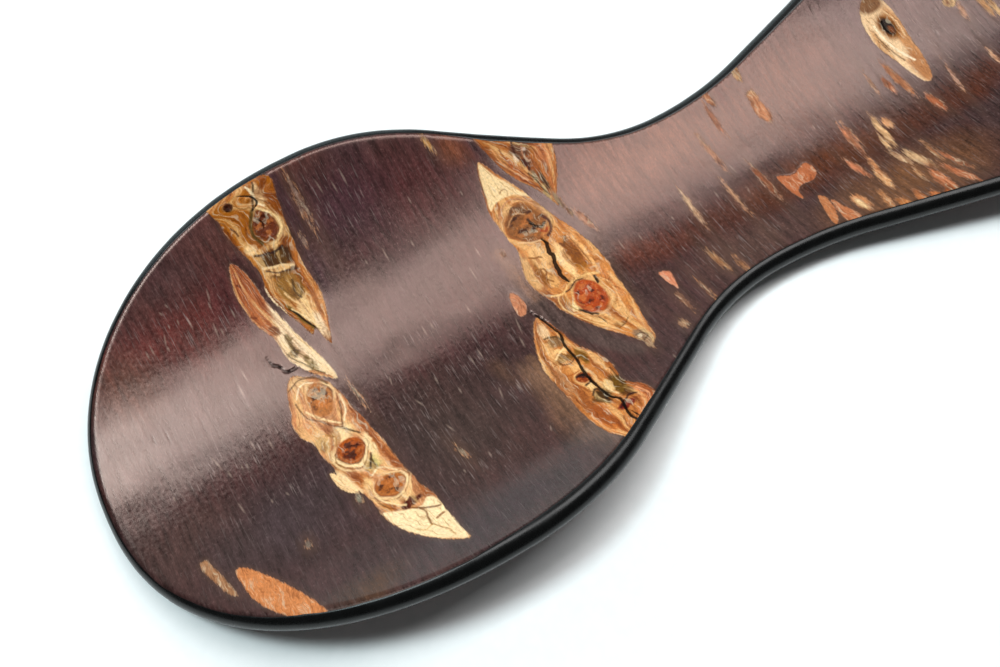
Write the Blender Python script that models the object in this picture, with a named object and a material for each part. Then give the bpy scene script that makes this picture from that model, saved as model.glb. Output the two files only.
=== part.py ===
"""Tea scoop in cherry bark laminate.

Five curved sheets are glued into one trough-shaped board: a polished bark sheet on the face, three thin
wood plies, and a second bark sheet on the back. A round band of black lacquer closes the cut edge all the
way round.

The scoop lies on its belly. +X runs from the bowl to the handle, +Z is up, and the origin is on the table
under the middle of the length. Metres throughout.
"""

import math

import bmesh
import bpy
from mathutils import Vector

# Outline, seen from above
LENGTH = 0.102
BOWL_WIDTH = 0.040
BOWL_REACH = 0.0271  # tip of the bowl to its widest point
BOWL_FULLNESS = 2.2  # exponent of the round front; 2 would be an ellipse
SHOULDER_RADIUS = 0.0280  # outward curve behind the widest point
WAIST_REACH = 0.0594  # tip of the bowl to the waist
WAIST_WIDTH = 0.0193
NECK_RADIUS = 0.0216  # inward curve between bowl and waist
FLARE_RADIUS = 0.0373  # inward curve between waist and handle
FLARE_ANGLE = math.radians(16.0)  # each side of the handle to the long axis
END_RADIUS = 0.050  # slight outward curve of the handle's end
CORNER_RADIUS = 0.012

# Section through the board
TROUGH_RADIUS = 0.0340  # hollow side of the curved board
BARK_THICKNESS = 0.00036
PLY_THICKNESS = 0.00032
PLY_NAMES = ("core_ply_upper", "core_ply_middle", "core_ply_lower")
GLUE_LINE = 0.00008  # kept open between neighbouring pieces

# Fineness of the mesh
OUTLINE_STEP = 0.0016
FACET_WIDTH = 0.0028  # flat strips along the curved board; the middle one is what it rests on
FRONT_STEPS = 26
EDGE_STEPS = 8
CUT_TOLERANCE = 1e-7
SHARP_ANGLE = math.radians(35)

# Finish of each material: colour, roughness, clear coat
FACE_FINISH = ((0.110, 0.045, 0.032), 0.32, 0.3)
PLY_FINISH = ((0.520, 0.340, 0.180), 0.70, 0.0)
BACK_FINISH = ((0.085, 0.036, 0.026), 0.40, 0.2)
LACQUER_FINISH = ((0.006, 0.006, 0.007), 0.12, 1.0)

BOARD_THICKNESS = 2 * BARK_THICKNESS + len(PLY_NAMES) * PLY_THICKNESS + (len(PLY_NAMES) + 1) * GLUE_LINE
EDGE_RADIUS = BOARD_THICKNESS / 2
MIDDLE_RADIUS = TROUGH_RADIUS + EDGE_RADIUS


def clear_scene():
    for scene_object in list(bpy.data.objects):
        bpy.data.objects.remove(scene_object, do_unlink=True)


def arc(centre, radius, start, end):
    """Points on an arc, both ends included."""
    count = max(3, math.ceil(radius * abs(end - start) / OUTLINE_STEP))
    angles = [start + (end - start) * i / count for i in range(count + 1)]
    return [centre + radius * Vector((math.cos(a), math.sin(a))) for a in angles]


def bowl_front():
    """Superellipse from the tip to the widest point."""
    power = 2 / BOWL_FULLNESS
    turns = [math.pi / 2 * i / FRONT_STEPS for i in range(FRONT_STEPS)]
    return [
        Vector((BOWL_REACH * (1 - math.cos(t) ** power), BOWL_WIDTH / 2 * math.sin(t) ** power))
        for t in turns
    ]


def shoulder_and_neck():
    """Outward arc, straight tangent and inward arc, from the widest point to the waist.

    The two arcs shrink together where the side is too short for both.
    """
    run = WAIST_REACH - BOWL_REACH
    drop = (BOWL_WIDTH - WAIST_WIDTH) / 2
    longest_pair = (run**2 + drop**2) / (2 * drop)
    fit = min(1.0, longest_pair / (SHOULDER_RADIUS + NECK_RADIUS))
    shoulder_radius = fit * SHOULDER_RADIUS
    neck_radius = fit * NECK_RADIUS
    shoulder = Vector((BOWL_REACH, BOWL_WIDTH / 2 - shoulder_radius))
    neck = Vector((WAIST_REACH, WAIST_WIDTH / 2 + neck_radius))
    apart = neck - shoulder
    lean = math.acos(min(1.0, (shoulder_radius + neck_radius) / apart.length))
    leave = math.atan2(apart.y, apart.x) + lean
    outward = arc(shoulder, shoulder_radius, math.pi / 2, leave)
    inward = arc(neck, neck_radius, leave + math.pi, 3 * math.pi / 2)
    return outward + [p for p in inward if (p - outward[-1]).length > OUTLINE_STEP / 4]


def handle():
    """Inward arc from the waist, straight flare, round corner and the curved end, as far as the long axis."""
    flare = Vector((WAIST_REACH, WAIST_WIDTH / 2 + FLARE_RADIUS))
    inward = arc(flare, FLARE_RADIUS, 3 * math.pi / 2, 3 * math.pi / 2 + FLARE_ANGLE)
    along = Vector((math.cos(FLARE_ANGLE), math.sin(FLARE_ANGLE)))
    inside = Vector((along.y, -along.x))
    end_centre = Vector((LENGTH - END_RADIUS, 0.0))
    start = inward[-1] + inside * CORNER_RADIUS - end_centre
    half_b = start.dot(along)
    rest = start.length_squared - (END_RADIUS - CORNER_RADIUS) ** 2
    corner = end_centre + start + along * (-half_b + math.sqrt(half_b**2 - rest))
    to_corner = corner - end_centre
    end_turn = math.atan2(to_corner.y, to_corner.x)
    corner_arc = arc(corner, CORNER_RADIUS, math.pi / 2 + FLARE_ANGLE, end_turn)
    end_arc = arc(end_centre, END_RADIUS, end_turn, 0.0)
    return inward[1:] + corner_arc + end_arc[1:]


def developed_outline():
    """The whole outline on the unrolled middle surface of the board, anticlockwise from the tip."""
    half = bowl_front() + shoulder_and_neck() + handle()
    unrolled = [Vector((p.x - LENGTH / 2, MIDDLE_RADIUS * math.asin(p.y / MIDDLE_RADIUS))) for p in half]
    mirrored = [Vector((p.x, -p.y)) for p in unrolled[1:-1]]
    return [unrolled[0]] + mirrored + unrolled[:0:-1]


def inset(outline, depth):
    """The outline moved inwards by depth."""
    moved = []
    for i, point in enumerate(outline):
        before = (point - outline[i - 1]).normalized()
        after = (outline[(i + 1) % len(outline)] - point).normalized()
        along = (before + after).normalized()
        moved.append(point + Vector((-along.y, along.x)) * depth / along.dot(after))
    return moved


def rolled(angle_length, rise):
    """Where a point of the unrolled board goes in the section, rise above the middle surface."""
    angle = angle_length / MIDDLE_RADIUS
    radius = MIDDLE_RADIUS - rise
    return Vector((0.0, radius * math.sin(angle), MIDDLE_RADIUS + EDGE_RADIUS - radius * math.cos(angle)))


def bend(point):
    """Rolls a point (along, across, above the middle surface) of the unrolled board, on flat strips."""
    strip = math.floor(point.y / FACET_WIDTH + 0.5)
    low = (strip - 0.5) * FACET_WIDTH
    share = (point.y - low) / FACET_WIDTH
    section = rolled(low, point.z).lerp(rolled(low + FACET_WIDTH, point.z), share)
    return Vector((point.x, section.y, section.z))


def cut_into_strips(bm):
    """Cuts an unrolled shape where the flat strips of the rolled board meet."""
    widest = max(vert.co.y for vert in bm.verts)
    cuts = [(i + 0.5) * FACET_WIDTH for i in range(int(widest / FACET_WIDTH + 0.5))]
    for cut in [-c for c in cuts] + cuts:
        geometry = bm.verts[:] + bm.edges[:] + bm.faces[:]
        bmesh.ops.bisect_plane(
            bm, geom=geometry, dist=CUT_TOLERANCE, plane_co=(0, cut, 0), plane_no=(0, 1, 0)
        )


def add_object(name, bm, finish):
    """Rolls up an unrolled shape and makes it an object with its own material."""
    for vert in bm.verts:
        vert.co = bend(vert.co)
    bmesh.ops.recalc_face_normals(bm, faces=bm.faces)
    mesh = bpy.data.meshes.new(name)
    bm.to_mesh(mesh)
    bm.free()
    mesh.shade_smooth()
    mesh.set_sharp_from_angle(angle=SHARP_ANGLE)
    color, roughness, coat = finish
    material = bpy.data.materials.new(name)
    material.use_nodes = True
    shader = material.node_tree.nodes["Principled BSDF"]
    shader.inputs["Base Color"].default_value = (*color, 1.0)
    shader.inputs["Roughness"].default_value = roughness
    shader.inputs["Metallic"].default_value = 0.0
    shader.inputs["Coat Weight"].default_value = coat
    mesh.materials.append(material)
    bpy.context.scene.collection.objects.link(bpy.data.objects.new(name, mesh))


def add_sheet(name, outline, top, thickness, finish):
    """One curved sheet, inside the edge band: its upper side is top above the board's middle surface."""
    bm = bmesh.new()
    shape = inset(outline, EDGE_RADIUS + GLUE_LINE)
    bm.faces.new([bm.verts.new((p.x, p.y, top)) for p in shape])
    cut_into_strips(bm)
    lower = bmesh.ops.extrude_face_region(bm, geom=bm.faces[:], use_keep_orig=True)["geom"]
    for item in lower:
        if isinstance(item, bmesh.types.BMVert):
            item.co.z -= thickness
    add_object(name, bm, finish)


def add_edge(name, outline, finish):
    """The round band along the whole edge: half a circle swept round the outline, flat on its inner side."""
    bm = bmesh.new()
    rings = []
    for i in range(EDGE_STEPS + 1):
        turn = math.pi * (0.5 - i / EDGE_STEPS)
        path = inset(outline, EDGE_RADIUS * (1 - math.cos(turn)))
        rings.append([bm.verts.new((p.x, p.y, EDGE_RADIUS * math.sin(turn))) for p in path])
    count = len(outline)
    for i, ring in enumerate(rings):
        following = rings[(i + 1) % len(rings)]
        for j in range(count):
            k = (j + 1) % count
            bm.faces.new((ring[j], ring[k], following[k], following[j]))
    cut_into_strips(bm)
    add_object(name, bm, finish)


def build():
    clear_scene()
    outline = developed_outline()
    top = EDGE_RADIUS
    add_sheet("face_bark", outline, top, BARK_THICKNESS, FACE_FINISH)
    top -= BARK_THICKNESS + GLUE_LINE
    for ply_name in PLY_NAMES:
        add_sheet(ply_name, outline, top, PLY_THICKNESS, PLY_FINISH)
        top -= PLY_THICKNESS + GLUE_LINE
    add_sheet("back_bark", outline, top, BARK_THICKNESS, BACK_FINISH)
    add_edge("lacquer_edge", outline, LACQUER_FINISH)


build()
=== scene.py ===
"""Looks of the cherry bark tea scoop: bark sheets with their knots and cracks, a round lacquered edge, soft
overhead lights and a pale floor. The board and its pattern are in millimetres, and the stage is in metres."""

import math

import bpy
import numpy as np
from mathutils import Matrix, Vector
from mathutils.geometry import delaunay_2d_cdt
from mathutils.kdtree import KDTree


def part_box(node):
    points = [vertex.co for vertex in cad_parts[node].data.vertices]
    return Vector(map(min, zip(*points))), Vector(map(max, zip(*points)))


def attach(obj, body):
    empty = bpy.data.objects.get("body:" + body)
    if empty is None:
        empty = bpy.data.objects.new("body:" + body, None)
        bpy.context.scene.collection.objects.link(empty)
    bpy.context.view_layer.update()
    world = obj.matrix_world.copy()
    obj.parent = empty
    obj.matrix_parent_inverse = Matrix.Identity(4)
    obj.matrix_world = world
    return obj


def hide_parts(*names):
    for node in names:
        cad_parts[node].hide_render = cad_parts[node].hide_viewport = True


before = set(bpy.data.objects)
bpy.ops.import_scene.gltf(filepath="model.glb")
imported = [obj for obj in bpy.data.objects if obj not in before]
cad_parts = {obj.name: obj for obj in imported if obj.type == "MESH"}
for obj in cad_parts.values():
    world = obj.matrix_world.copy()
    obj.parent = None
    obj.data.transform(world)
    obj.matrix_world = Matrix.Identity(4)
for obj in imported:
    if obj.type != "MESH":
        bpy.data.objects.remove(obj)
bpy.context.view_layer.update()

MM = 0.001

# Board in millimetres, its length from the imported edge band
band_low, band_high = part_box("lacquer_edge")
LENGTH = (band_high.x - band_low.x) / MM
BOARD_THICKNESS = 2.0
EDGE_RADIUS = BOARD_THICKNESS / 2
TROUGH_RADIUS = 34.0
MIDDLE_RADIUS = TROUGH_RADIUS + EDGE_RADIUS
BARK_THICKNESS = 0.36
FACE_INSET = 0.34  # the face bark runs over the round edge, this far in from the outline
NEAR_INSET = 0.42  # and this much further where the lacquer is broad
BACK_INSET = EDGE_RADIUS + 0.08

# Outline seen from above, in millimetres, from the tip of the bowl
BOWL_WIDTH = 40.0
BOWL_REACH = 27.1
BOWL_FULLNESS = 2.2
SHOULDER_RADIUS = 28.0
WAIST_REACH = 59.4
WAIST_WIDTH = 19.3
NECK_RADIUS = 21.6
FLARE_RADIUS = 37.3
FLARE_ANGLE = math.radians(16.0)
END_RADIUS = 50.0
CORNER_RADIUS = 12.0
OUTLINE_STEP = 0.3

# Colours as they look under the soft overhead light, screen codes
BARK = "4e3e3c"
BARK_RED = "5e3a35"
BARK_PURPLE = "453a40"
TAN = "d09a72"
ORANGE = "a8692f"
CREAM = "f4d6ac"
PALE = "fbe8cc"
LIGHT_GAIN = 1.50  # brightness of a white matt surface under that light
LIGHT_VEIL = 0.022  # what the polish adds everywhere
DARKEST = 0.002
BRIGHTEST = 0.9
INNER_GLOW = np.array((1.45, 1.24, 1.02))  # the inner bark is this much brighter, red, green and blue
FAR_SIDE_PAINTED_LIGHT = ((-20, -5, 5, 12, 20), (0.92, 0.90, 1.0, 1.45, 1.75))  # painted light across the board: the bark is painted a little darker on the near side and brighter towards the far side
HANDLE_GAIN = ((-14, -2), (1.0, 1.18))  # bark brightness along the board: lighter bark towards the handle
BARK_TINT = (1.0, 0.70, 0.61, 1.0)  # colour of the sheen on the bark
BARK_GLOSS = 0.62
INNER_GLOSS = 0.18
GRAIN_RELIEF = 0.00005  # metres
LACQUER_RELIEF = 0.000006


def linear(code):
    """The surface colour, linear red, green and blue, that looks like a screen code under the light."""
    values = [int(code[i:i + 2], 16) / 255 for i in (0, 2, 4)]
    seen = [v / 12.92 if v <= 0.04045 else ((v + 0.055) / 1.055) ** 2.4 for v in values]
    return tuple(max(DARKEST, (v - LIGHT_VEIL) / LIGHT_GAIN) for v in seen)


# ---------------------------------------------------------------- outline and rolled board


def arc(centre, radius, start, end):
    """Points on an arc, both ends included."""
    count = max(3, math.ceil(radius * abs(end - start) / OUTLINE_STEP))
    angles = [start + (end - start) * i / count for i in range(count + 1)]
    return [centre + radius * Vector((math.cos(a), math.sin(a))) for a in angles]


def bowl_front():
    """Superellipse from the tip to the widest point, its points evenly apart."""
    power = 2 / BOWL_FULLNESS
    turns = np.linspace(0, math.pi / 2, 4000)
    path = np.stack([
        BOWL_REACH * (1 - np.cos(turns) ** power),
        BOWL_WIDTH / 2 * np.sin(turns) ** power,
    ], 1)
    walked = np.concatenate([[0], np.cumsum(np.linalg.norm(np.diff(path, axis=0), axis=1))])
    stops = np.linspace(0, walked[-1], math.ceil(walked[-1] / OUTLINE_STEP) + 1)[:-1]
    return [Vector((np.interp(s, walked, path[:, 0]), np.interp(s, walked, path[:, 1]))) for s in stops]


def shoulder_and_neck():
    """Outward arc, straight tangent and inward arc, from the widest point to the waist."""
    shoulder = Vector((BOWL_REACH, BOWL_WIDTH / 2 - SHOULDER_RADIUS))
    neck = Vector((WAIST_REACH, WAIST_WIDTH / 2 + NECK_RADIUS))
    apart = neck - shoulder
    lean = math.acos((SHOULDER_RADIUS + NECK_RADIUS) / apart.length)
    leave = math.atan2(apart.y, apart.x) + lean
    outward = arc(shoulder, SHOULDER_RADIUS, math.pi / 2, leave)
    inward = arc(neck, NECK_RADIUS, leave + math.pi, 3 * math.pi / 2)
    return outward + straight(outward[-1], inward[0]) + inward


def straight(start, end):
    """Points between two others, both left out."""
    count = max(1, round((end - start).length / OUTLINE_STEP))
    return [start.lerp(end, i / count) for i in range(1, count)]


def handle():
    """Inward arc from the waist, straight flare, round corner and the curved end, as far as the long axis."""
    flare = Vector((WAIST_REACH, WAIST_WIDTH / 2 + FLARE_RADIUS))
    inward = arc(flare, FLARE_RADIUS, 3 * math.pi / 2, 3 * math.pi / 2 + FLARE_ANGLE)
    along = Vector((math.cos(FLARE_ANGLE), math.sin(FLARE_ANGLE)))
    inside = Vector((along.y, -along.x))
    end_centre = Vector((LENGTH - END_RADIUS, 0.0))
    start = inward[-1] + inside * CORNER_RADIUS - end_centre
    half_b = start.dot(along)
    rest = start.length_squared - (END_RADIUS - CORNER_RADIUS) ** 2
    corner = end_centre + start + along * (-half_b + math.sqrt(half_b**2 - rest))
    to_corner = corner - end_centre
    end_turn = math.atan2(to_corner.y, to_corner.x)
    corner_arc = arc(corner, CORNER_RADIUS, math.pi / 2 + FLARE_ANGLE, end_turn)
    end_arc = arc(end_centre, END_RADIUS, end_turn, 0.0)
    return inward[1:] + straight(inward[-1], corner_arc[0]) + corner_arc + end_arc[1:]


def developed_outline():
    """The whole outline on the unrolled middle surface, anticlockwise from the tip, as an array."""
    half = bowl_front() + shoulder_and_neck() + handle()
    unrolled = np.array([(p.x - LENGTH / 2, MIDDLE_RADIUS * math.asin(p.y / MIDDLE_RADIUS)) for p in half])
    mirrored = unrolled[1:-1] * (1, -1)
    return np.concatenate([unrolled[:1], mirrored, unrolled[:0:-1]])


def outward_normals(outline):
    """Unit vectors out of the outline at each of its points."""
    along = np.roll(outline, -1, 0) - np.roll(outline, 1, 0)
    along /= np.linalg.norm(along, axis=1, keepdims=True)
    return np.stack([along[:, 1], -along[:, 0]], 1)


def roll_up(points, rise):
    """Places of unrolled points (along, across), rise above the middle surface, in metres."""
    angle = points[:, 1] / MIDDLE_RADIUS
    radius = MIDDLE_RADIUS - rise
    height = MIDDLE_RADIUS + EDGE_RADIUS - radius * np.cos(angle)
    return np.stack([points[:, 0], radius * np.sin(angle), height], 1) * MM


# ---------------------------------------------------------------- fields on the unrolled board, millimetres


def cloud(points, size, seed, octaves=3):
    """Smooth random field between -1 and 1; size is (along, across) of its largest lumps."""
    total = np.zeros(len(points))
    weight_sum = 0.0
    for octave in range(octaves):
        lattice = np.random.default_rng(seed + octave).uniform(-1, 1, (64, 64))
        place = points / np.array(size) * 2**octave + 31.7
        cell = np.floor(place).astype(int)
        share = place - cell
        share = share * share * (3 - 2 * share)
        i, j = cell[:, 0] % 64, cell[:, 1] % 64
        i2, j2 = (i + 1) % 64, (j + 1) % 64
        low = lattice[i, j] * (1 - share[:, 0]) + lattice[i2, j] * share[:, 0]
        high = lattice[i, j2] * (1 - share[:, 0]) + lattice[i2, j2] * share[:, 0]
        weight = 0.5**octave
        total += weight * (low * (1 - share[:, 1]) + high * share[:, 1])
        weight_sum += weight
    return total / weight_sum


def curve_through(points, closed, steps=6):
    """Catmull-Rom curve through given points."""
    points = np.array(points, float)
    count = len(points)
    out = []
    for i in range(count if closed else count - 1):
        if closed:
            a, b, c, d = (points[(i + k) % count] for k in (-1, 0, 1, 2))
        else:
            a, b, c, d = (points[min(max(i + k, 0), count - 1)] for k in (-1, 0, 1, 2))
        for s in range(steps):
            t = s / steps
            square = (2 * a - 5 * b + 4 * c - d) * t**2
            cube = (3 * b - 3 * c + d - a) * t**3
            out.append(0.5 * (2 * b + (c - a) * t + square + cube))
    if not closed:
        out.append(points[-1])
    return np.array(out)


def distance_to_path(points, path, closed=False):
    """Shortest distance from each point to a chain of segments."""
    ends = np.roll(path, -1, 0) if closed else path[1:]
    starts = path if closed else path[:-1]
    best = np.full(len(points), 1e9)
    for a, b in zip(starts, ends):
        along = b - a
        share = np.clip(((points - a) @ along) / max(along @ along, 1e-12), 0, 1)
        best = np.minimum(best, np.hypot(*(points - a - share[:, None] * along).T))
    return best


def inside_distance(points, path):
    """Distance to a closed path, positive inside it. Only points near it are measured."""
    result = np.full(len(points), -9.0)
    low, high = path.min(0) - 1.5, path.max(0) + 1.5
    near = np.all((points > low) & (points < high), axis=1)
    x, y = points[near].T
    crossings = np.zeros(len(x), int)
    for (ax, ay), (bx, by) in zip(path, np.roll(path, -1, 0)):
        spans = (ay > y) != (by > y)
        reach = ax + (y - ay) * (bx - ax) / (by - ay if by != ay else 1e-12)
        crossings += spans & (x < reach)
    sign = np.where(crossings % 2 == 1, 1.0, -1.0)
    result[near] = sign * distance_to_path(points[near], path, closed=True)
    return result


def oval(points, centre, radii, tilt=0.0):
    """Distance from an oval's centre, 1 on its rim; tilt in degrees."""
    x, y = (points - np.array(centre)).T
    turn = math.radians(tilt)
    u = x * math.cos(turn) + y * math.sin(turn)
    v = -x * math.sin(turn) + y * math.cos(turn)
    return np.hypot(u / radii[0], v / radii[1])


# ---------------------------------------------------------------- where the bark shows its inner layers

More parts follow.
